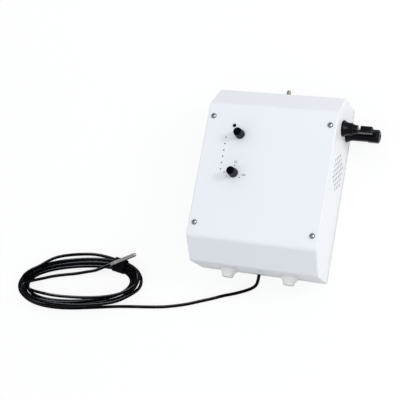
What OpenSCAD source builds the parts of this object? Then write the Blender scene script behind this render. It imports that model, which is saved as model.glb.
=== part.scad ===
// Wall-mounted solar inverter with two dials, a side fan and a coiled temperature lead.
// It lies on its back: X runs across the front, Y up the front and Z out of the wall.
// The origin is the middle of the back face, and every size is in millimetres.

/* [Housing] */
// Width of the cover across the front
case_w = 192; // [184:1:230]
// Height of the cover up the front
case_h = 260; // [254:1:320]
// Depth from the wall to the front face
case_d = 88; // [86:1:110]
// Height of each sloped end, measured up the front
slope_h = 32; // [26:1:38]
// Depth of each sloped end, measured towards the wall
slope_d = 33; // [20:1:35]
// Wall thickness of the cover
wall = 3; // [2:0.25:3.5]
// Radius along the cover's outer edges
edge_r = 2; // [1.5:0.5:9]
// Radius of the bends beside the slopes
bend_r = 9; // [4:0.5:10]
// Thickness of the back plate
plate_t = 4; // [3:0.5:5]
// How far the back plate stands out past the cover
plate_lip = 0; // [0:0.25:3]
// Thickness of the gasket behind the cover
gasket_t = 1.5; // [1:0.25:2.5]
// Diameter of the wall screw holes
wall_hole_d = 5.5; // [4:0.5:8]
// Distance between the wall screw holes across
wall_hole_w = 140; // [120:1:146]
// Distance between the wall screw holes up and down
wall_hole_h = 220; // [210:1:228]

/* [Cover screws] */
// Thread diameter of the cover screws
screw_d = 4; // [3:0.5:5]
// Head diameter of the cover screws
screw_head_d = 8; // [7:0.5:9]
// Head height of the cover screws
screw_head_h = 2.8; // [2:0.1:3.5]
// Distance from the cover's side to a cover screw
screw_side = 9.5; // [8.5:0.5:10]
// Distance from a slope's bend to a cover screw
screw_end = 19; // [12:0.5:24]
// Height of the pad inside the cover at each screw
pad_h = 3; // [2:0.5:5]

/* [Front controls] */
// Distance from the cover's left side to the dials
dial_side = 54.5; // [49:0.5:59]
// Place of the upper dial up the front
upper_dial_y = 54.5; // [50:0.5:56]
// Distance between the two dials
dial_gap = 57; // [45:1:64]
// Knob diameter at its foot
knob_d = 14; // [10:0.5:15]
// Knob diameter at its top
knob_top_d = 12; // [9.5:0.1:13]
// Height of a knob
knob_h = 15; // [11:0.5:18]
// Flutes round a knob
knob_flutes = 18; // [12:1:24]
// Diameter of the dial shafts
shaft_d = 6; // [5:0.25:6.35]
// Body diameter of a dial's potentiometer
pot_d = 16.5; // [14:0.5:18]
// Body height of a dial's potentiometer
pot_h = 9; // [6:0.5:10]
// Diameter of a status light
light_d = 2; // [2:0.25:5]
// Number of status lights
light_count = 6; // [4:1:6]
// Distance between status lights
light_gap = 9.4; // [8:0.1:10]
// Distance from the cover's left side to the status lights
light_side = 34; // [29:0.5:35]
// Place of the top status light up the front
top_light_y = 48.5; // [44:0.5:50]
// Diameter of the push button
button_d = 4.6; // [3.5:0.1:6]
// Travel of the push button
button_travel = 0.5; // [0.3:0.1:0.8]
// Distance from the cover's left side to the push button
button_side = 43.5; // [39:0.5:45]
// Place of the push button up the front
button_y = 67; // [66:0.5:70]

/* [Fan and vents] */
// Side of the square fan
fan_size = 60; // [50:1:62]
// Thickness of the fan
fan_t = 15; // [12:1:20]
// Place of the fan up the side
fan_y = 23.5; // [18:0.5:26]
// Height of the fan's axis above the middle of the space behind the rails
fan_lift = 0.5; // [-2:0.5:2]
// Diameter of a vent hole
vent_d = 4.8; // [3:0.1:5]
// Distance between vent holes
vent_gap = 8.2; // [6:0.1:9]
// Diameter of the field of vent holes
vent_field = 60; // [40:1:60]

/* [Solar connectors] */
// Place of the connectors up the side
pv_y = 85.5; // [84:0.5:88]
// Height of the front connector above the wall
pv_front_z = 54; // [50:0.5:56]
// Distance between the two connectors
pv_gap = 28; // [27:0.5:30]
// Flange diameter of a connector
pv_flange_d = 23.6; // [20:0.2:24]
// Thread diameter of a connector
pv_thread_d = 16; // [14:0.5:17]
// Length of the front connector outside the case
pv_front_l = 42.5; // [38:0.5:60]
// Length of the rear connector outside the case
pv_rear_l = 48.5; // [40:0.5:70]

/* [Cable entries] */
// Place of each gland either side of the middle
gland_x = 46; // [42:0.5:50]
// Height of the glands above the wall
gland_z = 22; // [20:0.5:28]
// Flange diameter of a gland
gland_d = 26; // [22:0.5:28]
// Thread diameter of a gland
gland_thread_d = 16; // [14:0.5:18]
// Length of a gland outside the case
gland_h = 12; // [11:0.5:24]
// Height of the sensor lead's grommet above the wall
grommet_z = 20; // [20:0.5:22]
// Diameter of the earth stud
stud_d = 6; // [5:0.5:8]
// Length of the earth stud outside the case
stud_out = 14; // [12:0.5:24]
// Height of the earth stud above the wall
stud_z = 27.5; // [20:0.5:34]

/* [Circuit boards] */
// Thickness of both boards
board_t = 1.6; // [1:0.1:2.4]
// Distance from the control board to the front wall
control_gap = 15; // [13:0.5:16]
// Height of the standoffs under the main board
standoff_h = 8; // [5:0.5:9]
// Diameter of the storage capacitors
cap_d = 25; // [18:1:26]
// Height of the storage capacitors
cap_h = 40; // [25:1:42]
// Length of the heat sink
sink_l = 108; // [90:1:112]
// Number of heat sink fins
sink_fins = 11; // [6:1:15]
// Number of terminal block poles
poles = 7; // [3:2:7]

/* [Sensor lead] */
// Diameter of the sensor lead
lead_d = 4.8; // [4:0.1:4.8]
// Diameter of the probe
probe_d = 6; // [5:0.25:8]
// Length of the probe
probe_l = 45; // [30:1:60]
// Width of the wrap round the coil
wrap_w = 18; // [10:1:20]

/* [Hidden] */
$fn = 48;

// Clearances
screw_fit = 0.1;
run_fit = 0.05;
hole_fit = 0.2;
soft_fit = 0.3;

// Planes of the case
rim_z = plate_t + gasket_t;
front_in = case_d - wall;
side_in = case_w/2 - wall;
end_in = case_h/2 - wall;
slope_tilt = atan2(slope_d, slope_h);
// Least radius of the cover's inner edges
inner_r = 1.5;

// Cover screws and the rails that take them
screw_x = case_w/2 - screw_side;
screw_y = case_h/2 - slope_h - screw_end;
screw_spots = [for (x = [-screw_x, screw_x], y = [-screw_y, screw_y]) [x, y]];
rail_top = front_in - pad_h;
rail_w = 10;
rail_t = 2;
rail_leg_y = (fan_y + fan_size/2 + pv_y - pv_thread_d)/2 + 1;
rail_foot = 14;
rail_end = 7;
insert_h = 5;
insert_d = screw_d + 3;
foot_spots = [for (y = [-1, 1]) y*(rail_leg_y - rail_foot/2)];

// Front controls
dial_x = dial_side - case_w/2;
light_x = light_side - case_w/2;
button_x = button_side - case_w/2;
dial_spots = [[dial_x, upper_dial_y], [dial_x, upper_dial_y - dial_gap]];
light_spots = [for (i = [0:light_count - 1]) [light_x, top_light_y - i*light_gap]];
knob_lift = 0.6;
knob_cap = 3;
flute_d = 1.6;
shaft_flat = 1.2;
bushing_d = shaft_d + 1.6;
bushing_sink = 0.8;
shaft_top = case_d + knob_lift + knob_h - knob_cap;
pipe_stand = 0.7;
chip_size = [3.5, 2.8, 0.8];
button_stand = 1.4;
collar_d = button_d + 1.6;
collar_h = 1.2;
switch_size = [6, 6, 3.5];
switch_stem_h = 0.8;

// Control board
control_top = front_in - control_gap;
control_left = 10;
control_right = 20;
control_foot = 16;
control_head = 9;
control_x = [light_x - control_left, dial_x + control_right];
control_y = [dial_spots[1][1] - control_foot, button_y + control_head];
control_margin = 4;
control_spots = [for (x = [control_x[0] + control_margin, control_x[1] - control_margin],
                      y = [control_y[0] + control_margin, control_y[1] - control_margin]) [x, y]];
boss_d = 7;
small_screw_d = 3;
small_head_d = 5.6;
small_head_h = 2.2;
small_bite = 8;

// Fan
fan_boss_h = 2;
fan_z = (plate_t + rail_top - rail_t)/2 + fan_lift;
fan_x1 = side_in - fan_boss_h;
fan_x0 = fan_x1 - fan_t;
fan_bore = fan_size - 3;
fan_hole = fan_size*5/12;
fan_spots = [for (y = [-fan_hole, fan_hole], z = [-fan_hole, fan_hole]) [fan_y + y, fan_z + z]];
fan_screw_d = 3.5;
fan_screw_head_d = 6.5;
fan_screw_bite = 3;
fan_hub_d = 24;
fan_web = 2.5;
fan_pin_d = 3;
fan_blades = 7;
blade_pitch = 35;
blade_t = 1.4;
blade_inset = 0.6;
tip_gap = 1;
// The cover is thinner where the vent holes are
vent_skin = 1.2;
vent_margin = 1;

// Outlet slots on the left side
slot_count = 9;
slot_gap = 6.5;
slot_w = 3;
slot_l = 44;

// Solar connectors
pv_spots = [[pv_y, pv_front_z], [pv_y, pv_front_z - pv_gap]];
pv_seal_t = 1;
pv_flange_t = 3;
pv_inside = 16;
pv_nut_t = 6;
pv_nut_d = pv_thread_d + 8;
pv_pin_d = 4;
pv_mouth_d = 6.8;
pv_mouth_l = 14;
pv_ring_w = 2;
pv_cone_l = 13;
pv_cone_d = 17.4;
pv_neck_l = 7.7;
pv_neck_d = 13.4;
pv_window = 4.4;
pv_window_from = -2.6;
pv_tip = 9.6;
pv_tip_round = 1;
pv_face = case_w/2 + pv_seal_t;
pv_body = 16.8;
pv_body_from = 5;
pv_grip = 18.4;
pv_grip_from = 31;
pv_chamfer = 2;
// Profiles as [distance out, diameter]
pv_flare_steps = [
    [0, pv_flange_d], [pv_flange_t/2, pv_flange_d], [pv_flange_t, pv_flange_d - 2.6],
    [2*pv_flange_t, mix(pv_flange_d - 2.6, pv_cone_d, 0.6)], [3*pv_flange_t, pv_cone_d]];
pv_front_steps = concat(pv_flare_steps, [
    [pv_cone_l, pv_cone_d - 0.2], [pv_cone_l, pv_neck_d], [pv_cone_l + pv_neck_l, pv_neck_d - 0.8]]);
pv_rear_steps = concat(pv_flare_steps, [[3*pv_flange_t + 1, pv_body]]);
// The rear connector's eight flats, as [distance out, size across the flats]
pv_flat_steps = [
    [pv_body_from, pv_body], [pv_grip_from, pv_body], [pv_grip_from, pv_grip],
    [pv_rear_l - pv_seal_t - pv_chamfer, pv_grip], [pv_rear_l - pv_seal_t, pv_grip - 2*pv_chamfer]];

// Glands, grommet and earth stud
gland_spots = [-gland_x, gland_x];
gland_face = -case_h/2;
gland_flange_t = 3;
gland_bore_d = gland_thread_d - 6;
gland_inside = 13;
gland_barrel_l = 4.5;
gland_dome_wall = 1.6;
gland_nut_t = 5;
gland_nut_d = gland_thread_d + 8;
gland_tip_d = gland_bore_d + 3;
gland_seal_t = 2;
dome_steps = 6;
grommet_groove_d = lead_d + 3;
grommet_flange_d = lead_d + 6;
grommet_flange_t = 2;
grommet_face = -case_h/2 - grommet_flange_t;
stud_nut_d = stud_d*1.92;
stud_nut_t = stud_d*0.8;
stud_washer_d = stud_d*2;
stud_washer_t = 1.4;
stud_inside = 14;
stud_groove = 0.6;

// Main board and what stands on it
main_z = plate_t + standoff_h;
main_top = main_z + board_t;
sink_w = fan_size;
board_side = 12;
board_fan_gap = 9;
board_foot = 40;
board_head = 16.5;
main_x = [-side_in + board_side, fan_x0 - board_fan_gap];
main_y = [-case_h/2 + board_foot, fan_y + sink_w/2 + board_head];
main_margin = 5;
main_middle = (main_y[0] + main_y[1])/2 + 4;
main_spots = [for (x = [main_x[0] + main_margin, main_x[1] - main_margin],
                   y = [main_y[0] + main_margin, main_middle, main_y[1] - main_margin]) [x, y]];
standoff_d = 6;
transistor_size = [16, 21, 5];
transistor_count = 4;
sink_base = 5;
sink_clear = 3.7;
sink_top = control_top - board_t - small_head_h - sink_clear;
sink_fin_t = 1.6;
sink_leg_d = 6;
sink_end = 12;
sink_x1 = main_x[1] - sink_end;
sink_x0 = sink_x1 - sink_l;
part_gap = 5;
cap_count = 3;
cap_gap = 4;
cap_side = 8;
cap_step = cap_d + cap_gap;
cap_x0 = main_x[0] + cap_side + cap_d/2;
cap_x1 = cap_x0 + (cap_count - 1)*cap_step + cap_d/2;
cap_y = fan_y - sink_w/2 - part_gap - cap_d/2;
relay_size = [29, 13, 16];
relay_at = [cap_x1 + part_gap, cap_y - relay_size[1]/2];
pole_gap = 9.5;
pole_spots = [for (i = [0:poles - 1]) (i - poles + 2)*pole_gap];
terminal_x = [pole_spots[0] - pole_gap/2, pole_spots[poles - 1] + pole_gap/2];
terminal_edge = 2;
terminal_w = 14;
terminal_y = [main_y[0] + terminal_edge, main_y[0] + terminal_edge + terminal_w];
terminal_h = 18;
port_w = lead_d + 1.2;
port_l = 7;
terminal_screw_d = 4;
terminal_screw_y = terminal_y[1] - 4.5;
terminal_screw_foot = 10;
terminal_screw_sink = 2;
terminal_screw_h = terminal_h - terminal_screw_foot - terminal_screw_sink;
terminal_slot_w = 0.8;
terminal_slot_t = 1;
choke_d = 38;
choke_bore = 18;
choke_h = 20;
choke_at = [(terminal_x[1] + main_x[1])/2, relay_at[1] - part_gap - choke_d/2];

// Coil of the sensor lead: middle, tilt, half length and half width of its outer turn
coil_drop = 49.5;
coil_mid = [-289, grommet_face - coil_drop];
coil_tilt = 10;
coil_half_l = 102;
coil_half_w = 37.4;
// How much rounder its ends are than an ellipse's
coil_round = 0.12;
// Room that one turn takes along the coil's length, across it, and upwards
turn_long = 1.5*lead_d;
turn_cross = lead_d + 0.8;
turn_up = lead_d + 0.55;
loop_rings = 24;
coil_turns = 6.58;
bottom_turns = 2;
climb_turns = 0.5;
top_turns = 4.65;
// The last loose turns, as [turn, steps in from the outer turn, layers up]
loose_turn = [
    [4.65, -0.15, 1], [4.76, -0.05, 2], [4.85, 0.9, 2], [4.95, 2.1, 2], [5.03, 3.05, 1.3], [5.1, 3.45, 0],
    [5.16, 3, 2], [5.38, 0.32, 2], [5.41, 0.3, 2], [5.465, -1.1, 1.9], [5.51, -1.6, 0],
    [5.58, -0.55, 0], [5.72, -0.2, 0], [5.8, -0.2, 0], [5.9, -0.3, 2], [5.99, 0.5, 2], [6.05, 0.9, 2.2],
    [6.17, 1.6, 3.6], [6.25, 2.2, 3.4], [6.4, 3.6, 0], [6.48, 3.8, 0], [6.54, 3.45, 1.7], [6.63, -1.6, 3]];
coil_stub = 1;
wrap_angle = 44;
wrap_t = 1.2;
wrap_lift = wrap_t + soft_fit;
wrap_reach = [-0.5, 1.9];

// Route of the lead from its grommet to the coil, with its places up the front counted from the grommet
lead_low = lead_d/2;
lead_points = [
    [0, 0, grommet_z], [0, -5, grommet_z], [-1, -10, 18], [-4, -15, 13.5], [-10, -19, 8.5],
    [-18, -22.5, 4.8], [-28, -26.5, lead_low + 0.4], [-40, -31, lead_low], [-55, -36, lead_low], [-70, -42, lead_low],
    [-88, -48.5, lead_low], [-106, -55, lead_low], [-125, -60.5, lead_low], [-145, -65, lead_low],
    [-165, -68, lead_low], [-185, -70.5, lead_low], [-205, -73, lead_low], [-225, -76, lead_low]];
lead_route = [for (p = lead_points) [p[0], grommet_face + p[1], p[2]]];

function unit(v) = v/norm(v);
function mix(a, b, t) = a + (b - a)*t;
function ease(t) = t*t*(3 - 2*t);

// Side profile of the case as [up the front, out of the wall], drawn in by inset
function profile(inset) =
    let (top = case_h/2 - inset,
         front = case_d - inset,
         reach = slope_d*case_h/2 + slope_h*(case_d - slope_d) - inset*norm([slope_h, slope_d]),
         shoulder = (reach - slope_d*top)/slope_h,
         brow = (reach - slope_h*front)/slope_d)
    [[-top, 0], [top, 0], [top, shoulder], [brow, front], [-brow, front], [-top, shoulder]];

// Diameter of a gland's dome, from its foot at 0 to its tip at 1
function dome_d(t) = mix(gland_tip_d + 2*gland_dome_wall, gland_d - 1.6, pow(1 - t, 2));

// Staggered round field of vent holes
function vent_spots() =
    let (rows = ceil(vent_field/vent_gap))
    [for (row = [-rows:rows], column = [-rows:rows])
        let (spot = [(column + (row%2)/2)*vent_gap, row*vent_gap*sqrt(3)/2])
        if (norm(spot) <= (vent_field - vent_d)/2) spot];

// Position in the last loose turn, for part 1, steps in, or part 2, layers up
function loose(turn, part, i = 0) =
    turn > loose_turn[i + 1][0] && i < len(loose_turn) - 2 ? loose(turn, part, i + 1) :
    mix(loose_turn[i][part], loose_turn[i + 1][part],
        ease((turn - loose_turn[i][0])/(loose_turn[i + 1][0] - loose_turn[i][0])));

// Steps in from the outer turn: in along the bottom layer, out along the next, then the loose turn
function coil_inward(turn) =
    turn < bottom_turns ? turn :
    turn < bottom_turns + climb_turns ?
        bottom_turns + (turn - bottom_turns)*(1 - (turn - bottom_turns)/climb_turns) :
    turn < top_turns ? bottom_turns - (turn - bottom_turns - climb_turns) :
    loose(turn, 1);
function coil_layer(turn) =
    turn < bottom_turns ? 0 :
    turn < bottom_turns + climb_turns ? ease((turn - bottom_turns)/climb_turns) :
    turn < top_turns ? 1 :
    loose(turn, 2);

// A point of the flat coil at an angle, so many steps in
function coil_flat(angle, steps) =
    let (along = (coil_half_l - turn_long*steps)*cos(angle),
         across = (coil_half_w - turn_cross*steps)*sin(angle)*(1 + coil_round*pow(cos(angle), 2)))
    coil_mid + [along*cos(coil_tilt) - across*sin(coil_tilt), along*sin(coil_tilt) + across*cos(coil_tilt)];
function coil_angle(turn) =
    let (even = -90 - 360*turn) even - 0.2*sin(2*even)*180/PI;
function coil_point(turn) =
    let (angle = coil_angle(turn),
         flat = coil_flat(angle, coil_inward(turn)),
         lift = wrap_lift*pow(max(0, cos(angle - wrap_angle)), 8))
    [flat[0], flat[1], lead_d/2 + coil_layer(turn)*turn_up + lift];

// The coil's route, with a straight stub at each end
coil_rings = round(coil_turns*loop_rings);
coil_run = [for (i = [0:coil_rings]) coil_point(i*coil_turns/coil_rings)];
coil_in_dir = [-cos(coil_tilt), -sin(coil_tilt), 0];
coil_out_dir = unit(coil_run[coil_rings] - coil_run[coil_rings - 1]);
coil_start = coil_run[0] - coil_in_dir*lead_d;
coil_end = coil_run[coil_rings] + coil_out_dir*coil_stub;
coil_route = concat([coil_start], coil_run, [coil_end]);

// Least gap of the coil to itself, measured on points along its route
gap_parts = 3;
gap_points = [for (i = [0:len(coil_route) - 2], k = [0:gap_parts - 1])
    mix(coil_route[i], coil_route[i + 1], k/gap_parts)];
gap_skip = loop_rings*gap_parts/3;
coil_gap = min([for (i = [0:len(gap_points) - gap_skip - 1], j = [i + gap_skip:len(gap_points) - 1])
    norm(gap_points[i] - gap_points[j])]) - lead_d;
echo(least_gap_of_coil = coil_gap);

// Rings of points round a route, and the triangles that close them into a tube
function route_dir(route, i) =
    i == 0 ? unit(route[1] - route[0]) :
    i == len(route) - 1 ? unit(route[i] - route[i - 1]) :
    unit(unit(route[i + 1] - route[i]) + unit(route[i] - route[i - 1]));
function tube_points(route, d, sides) = [
    for (i = [0:len(route) - 1])
        let (dir = route_dir(route, i),
             side = unit(cross(dir, [0, 0, 1])),
             up = cross(side, dir))
        for (k = [0:sides - 1])
            let (turn = 360*(k + 0.5)/sides)
            route[i] + (side*cos(turn) + up*sin(turn))*d/2];
function tube_faces(rings, sides) = concat(
    [for (i = [0:rings - 2], k = [0:sides - 1])
        let (a = i*sides + k, b = i*sides + (k + 1)%sides)
        each [[a, a + sides, b], [b, a + sides, b + sides]]],
    [for (k = [1:sides - 2]) [0, k, k + 1]],
    [for (k = [1:sides - 2]) let (last = (rings - 1)*sides) [last, last + k + 1, last + k]]);

// Shared shapes

module tube(route, d, sides)
    polyhedron(tube_points(route, d, sides), tube_faces(len(route), sides));

// Polygon with round corners, one radius for each corner
module soft_polygon(points, radii) {
    n = len(points);
    rounds = [for (i = [0:n - 1])
        let (v = points[i],
             before = unit(points[(i + n - 1)%n] - v),
             after = unit(points[(i + 1)%n] - v),
             half = acos(before*after)/2,
             reach = radii[i]/tan(half))
        [v + before*reach, v + after*reach, v + unit(before + after)*radii[i]/sin(half)]];
    polygon([for (i = [0:n - 1]) each radii[i] > 0 ? [rounds[i][0], rounds[i][1]] : [points[i]]]);
    for (i = [0:n - 1])
        if (radii[i] > 0)
            translate(rounds[i][2]) circle(radii[i]);
}

module soft_rectangle(w, h, r)
    soft_polygon([[-w/2, -h/2], [w/2, -h/2], [w/2, h/2], [-w/2, h/2]], [r, r, r, r]);

module rod_x(d, from, to) translate([from, 0, 0]) rotate([0, 90, 0]) cylinder(d = d, h = to - from);
module rod_y(d, from, to) translate([0, from, 0]) rotate([-90, 0, 0]) cylinder(d = d, h = to - from);
module rod_z(d, from, to) translate([0, 0, from]) cylinder(d = d, h = to - from);

// Plate between two corners of each axis
module block(x, y, z) translate([x[0], y[0], z[0]]) cube([x[1] - x[0], y[1] - y[0], z[1] - z[0]]);

// Screw with a domed head above z = 0, a cross recess, and its thread below
module pan_screw(d, head_d, head_h, length) difference() {
    union() {
        rod_z(d, -length, head_h/2);
        intersection() {
            cylinder(d = head_d, h = head_h);
            translate([0, 0, head_h - head_d*0.8]) sphere(r = head_d*0.8);
        }
    }
    for (turn = [0, 90])
        rotate(turn) translate([-head_d*0.3, -head_d*0.06, head_h*0.45])
            cube([head_d*0.6, head_d*0.12, head_h]);
}

module hex_nut(d, bore, t) difference() {
    cylinder(d = d, h = t, $fn = 6);
    rod_z(bore, -1, t + 1);
}

// Turned shape along +X from a list of [distance out, diameter]
module turned_x(steps, from, from_d) rotate([0, 90, 0]) rotate_extrude()
    polygon(concat([[0, from], [from_d/2, from], [from_d/2, 0]],
                   [for (s = steps) [s[1]/2, s[0]]],
                   [[0, steps[len(steps) - 1][0]]]));

// Long bar with the round front edges of the case
module edge_bar(inset) {
    half = case_w/2 - inset;
    r = max(edge_r - inset, inner_r);
    rotate([90, 0, 0]) linear_extrude(3*case_h, center = true)
        soft_polygon([[-half, -3*case_d], [half, -3*case_d], [half, -inset], [-half, -inset]], [0, 0, r, r]);
}

// Solid of the case, drawn in by inset
module case_body(inset) {
    r = bend_r - inset;
    intersection() {
        rotate([90, 0, 90]) linear_extrude(2*case_w, center = true)
            soft_polygon(profile(inset), [0, 0, r, r, r, r]);
        translate([0, 0, case_d]) edge_bar(inset);
        translate([0, (case_h - slope_h)/2, case_d - slope_d/2]) rotate([-slope_tilt, 0, 0]) edge_bar(inset);
        translate([0, -(case_h - slope_h)/2, case_d - slope_d/2]) rotate([slope_tilt, 0, 0]) edge_bar(inset);
        linear_extrude(3*case_d, center = true)
            soft_rectangle(case_w - 2*inset, case_h - 2*inset, max(edge_r - inset, inner_r));
    }
}

// Housing

module back_plate() color("whitesmoke") difference() {
    linear_extrude(plate_t) soft_rectangle(case_w + 2*plate_lip, case_h + 2*plate_lip, edge_r + plate_lip);
    for (x = [-1, 1], y = [-1, 1])
        translate([x*wall_hole_w/2, y*wall_hole_h/2, 0]) rod_z(wall_hole_d, -1, plate_t + 1);
    for (x = [-screw_x, screw_x], y = foot_spots)
        translate([x, y, 0]) rod_z(screw_d + 2*screw_fit, -1, plate_t + 1);
}

module rear_gasket() color("gainsboro") translate([0, 0, plate_t]) linear_extrude(gasket_t) difference() {
    soft_rectangle(case_w - 1, case_h - 1, edge_r - 0.5);
    soft_rectangle(case_w - 2*wall - 2, case_h - 2*wall - 2, inner_r);
}

module front_cover() color("white") difference() {
    union() {
        difference() {
            case_body(0);
            case_body(wall);
            translate([-case_w, -case_h, -rim_z]) cube([2*case_w, 2*case_h, 2*rim_z]);
        }
        for (spot = screw_spots)
            translate(spot) rod_z(rail_w - 1, rail_top, front_in + wall/2);
        for (spot = control_spots)
            translate(spot) rod_z(boss_d, control_top, front_in + wall/2);
        for (spot = fan_spots)
            translate([0, spot[0], spot[1]]) rod_x(boss_d, fan_x1, side_in + wall/2);
    }
    for (spot = screw_spots)
        translate(spot) rod_z(screw_d + 2*screw_fit, rail_top - 1, case_d + 1);
    for (spot = control_spots)
        translate(spot) rod_z(small_screw_d + 2*screw_fit, control_top - 1, control_top + small_bite + 1);
    for (spot = dial_spots)
        translate(spot) rod_z(bushing_d + 2*hole_fit, front_in - 1, case_d + 1);
    for (spot = light_spots)
        translate(spot) rod_z(light_d + 2*screw_fit, front_in - 1, case_d + 1);
    translate([button_x, button_y, 0]) rod_z(button_d + 2*hole_fit, front_in - 1, case_d + 1);
    for (spot = fan_spots)
        translate([0, spot[0], spot[1]])
            rod_x(fan_screw_d + 2*screw_fit, fan_x1 - 1, fan_x1 + fan_screw_bite + 0.5);
    translate([0, fan_y, fan_z])
        rod_x(vent_field + 2*vent_margin, side_in - 1, case_w/2 - vent_skin);
    for (spot = vent_spots())
        translate([0, fan_y + spot[0], fan_z + spot[1]]) rod_x(vent_d, side_in - 1, case_w/2 + 1);
    for (i = [0:slot_count - 1])
        translate([-case_w/2 - 1, fan_y + (i - (slot_count - 1)/2)*slot_gap - slot_w/2, fan_z - slot_l/2])
            cube([wall + 2, slot_w, slot_l]);
    for (spot = pv_spots)
        translate([0, spot[0], spot[1]]) rod_x(pv_thread_d + 2*hole_fit, side_in - 1, case_w/2 + 1);
    for (x = gland_spots)
        translate([x, 0, gland_z]) rod_y(gland_thread_d + 2*hole_fit, gland_face - 1, gland_face + wall + 1);
    translate([0, 0, grommet_z]) rod_y(grommet_groove_d, gland_face - 1, gland_face + wall + 1);
    translate([0, 0, stud_z]) rod_y(stud_d + 2*hole_fit, end_in - 1, case_h/2 + 1);
}

// Bent strap that stands on the back plate and takes two cover screws
module rail(side) color("silver") translate([side*screw_x, 0, 0]) difference() {
    union() {
        block([-rail_w/2, rail_w/2], [-screw_y - rail_end, screw_y + rail_end],
              [rail_top - rail_t, rail_top]);
        for (end = [-1, 1]) {
            translate([0, end*rail_leg_y, 0])
                block([-rail_w/2, rail_w/2], [-rail_t/2, rail_t/2], [plate_t, rail_top]);
            translate([0, end*(rail_leg_y - rail_foot/2), 0])
                block([-rail_w/2, rail_w/2], [-rail_foot/2, rail_foot/2], [plate_t, plate_t + rail_t]);
            translate([0, end*screw_y, 0]) rod_z(insert_d, rail_top - rail_t - insert_h, rail_top);
        }
    }
    for (end = [-1, 1]) {
        translate([0, end*screw_y, 0])
            rod_z(screw_d + 2*screw_fit, rail_top - rail_t - insert_h - 1, rail_top + 1);
        translate([0, foot_spots[(end + 1)/2], 0])
            rod_z(screw_d + 2*screw_fit, plate_t - 1, plate_t + rail_t + 1);
    }
}

module left_rail() rail(-1);
module right_rail() rail(1);

module rail_screws() color("silver")
    for (x = [-screw_x, screw_x], y = foot_spots)
        translate([x, y, plate_t + rail_t])
            pan_screw(screw_d, screw_head_d, screw_head_h, rail_t + plate_t - 0.5);

module cover_screws() color("silver")
    for (spot = screw_spots)
        translate([spot[0], spot[1], case_d])
            pan_screw(screw_d, screw_head_d, screw_head_h, wall + pad_h + rail_t + insert_h);

// Front controls

module control_board() color("darkgreen") difference() {
    block(control_x, control_y, [control_top - board_t, control_top]);
    for (spot = control_spots)
        translate(spot) rod_z(small_screw_d + 2*screw_fit, control_top - board_t - 1, control_top + 1);
}

module control_screws() color("silver")
    for (spot = control_spots)
        translate([spot[0], spot[1], control_top - board_t]) rotate([180, 0, 0])
            pan_screw(small_screw_d, small_head_d, small_head_h, board_t + small_bite);

module pot(spot) color("gray") translate(spot) difference() {
    union() {
        rod_z(pot_d, control_top, control_top + pot_h);
        rod_z(bushing_d, control_top, case_d - bushing_sink);
    }
    rod_z(shaft_d + 2*run_fit, control_top + 2, case_d + 1);
}

module upper_pot() pot(dial_spots[0]);
module lower_pot() pot(dial_spots[1]);

// Dial shaft with a flat that turns the knob
module shaft(spot) color("lightgray") translate(spot) difference() {
    rod_z(shaft_d, control_top + 2 + run_fit, shaft_top);
    block([-shaft_d, shaft_d], [shaft_d/2 - shaft_flat, shaft_d], [case_d + knob_lift, shaft_top + 1]);
}

module upper_shaft() shaft(dial_spots[0]);
module lower_shaft() shaft(dial_spots[1]);

// Tapered fluted knob with a pointer groove on its top
module knob(spot) color([0.05, 0.05, 0.06]) translate([spot[0], spot[1], case_d + knob_lift]) difference() {
    cylinder(d1 = knob_d, d2 = knob_top_d, h = knob_h);
    difference() {
        rod_z(shaft_d + 2*screw_fit, -1, knob_h - knob_cap + screw_fit);
        block([-shaft_d, shaft_d], [shaft_d/2 - shaft_flat + screw_fit, shaft_d], [-2, knob_h]);
    }
    for (i = [0:knob_flutes - 1])
        rotate(360*i/knob_flutes) translate([knob_d/2 + flute_d*0.15, 0, 1.5])
            rotate([0, -atan2((knob_d - knob_top_d)/2, knob_h), 0]) cylinder(d = flute_d, h = 2*knob_h);
    block([-0.5, 0.5], [1.5, knob_d], [knob_h - 0.6, knob_h + 1]);
}

module upper_knob() knob(dial_spots[0]);
module lower_knob() knob(dial_spots[1]);

// Button cap with a collar under the front wall and a stem down to its switch
module push_button() color([0.05, 0.05, 0.06]) translate([button_x, button_y, 0]) {
    rod_z(button_d, front_in - hole_fit - collar_h, case_d + button_stand);
    rod_z(collar_d, front_in - hole_fit - collar_h, front_in - hole_fit);
    rod_z(button_d - 1, control_top + switch_size[2] + switch_stem_h + button_travel + run_fit,
          front_in - hole_fit - collar_h/2);
}

module button_switch() color("dimgray") translate([button_x, button_y, control_top]) {
    translate([-switch_size[0]/2, -switch_size[1]/2, 0]) cube(switch_size);
    rod_z(button_d - 1.2, 0, switch_size[2] + switch_stem_h);
}

module light_pipes() color("lightcyan")
    for (spot = light_spots)
        translate(spot) intersection() {
            rod_z(light_d, control_top + chip_size[2], case_d + pipe_stand);
            translate([0, 0, case_d + pipe_stand - light_d*0.7]) {
                sphere(r = light_d*0.7);
                rod_z(2*light_d, -2*control_gap, 0);
            }
        }

module light_chips() color("khaki")
    for (spot = light_spots)
        translate([spot[0] - chip_size[0]/2, spot[1] - chip_size[1]/2, control_top]) cube(chip_size);

// Power electronics

module main_board() color("darkgreen") difference() {
    block(main_x, main_y, [main_z, main_top]);
    for (spot = main_spots)
        translate(spot) rod_z(small_screw_d + 2*screw_fit, main_z - 1, main_top + 1);
}

module main_standoffs() color("gold")
    for (spot = main_spots)
        translate(spot) difference() {
            rod_z(standoff_d, plate_t, main_z);
            rod_z(small_screw_d + 2*screw_fit, plate_t - 1, main_z + 1);
        }

module main_screws() color("silver")
    for (spot = main_spots)
        translate([spot[0], spot[1], main_top])
            pan_screw(small_screw_d, small_head_d, small_head_h, board_t + standoff_h - 1);

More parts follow.
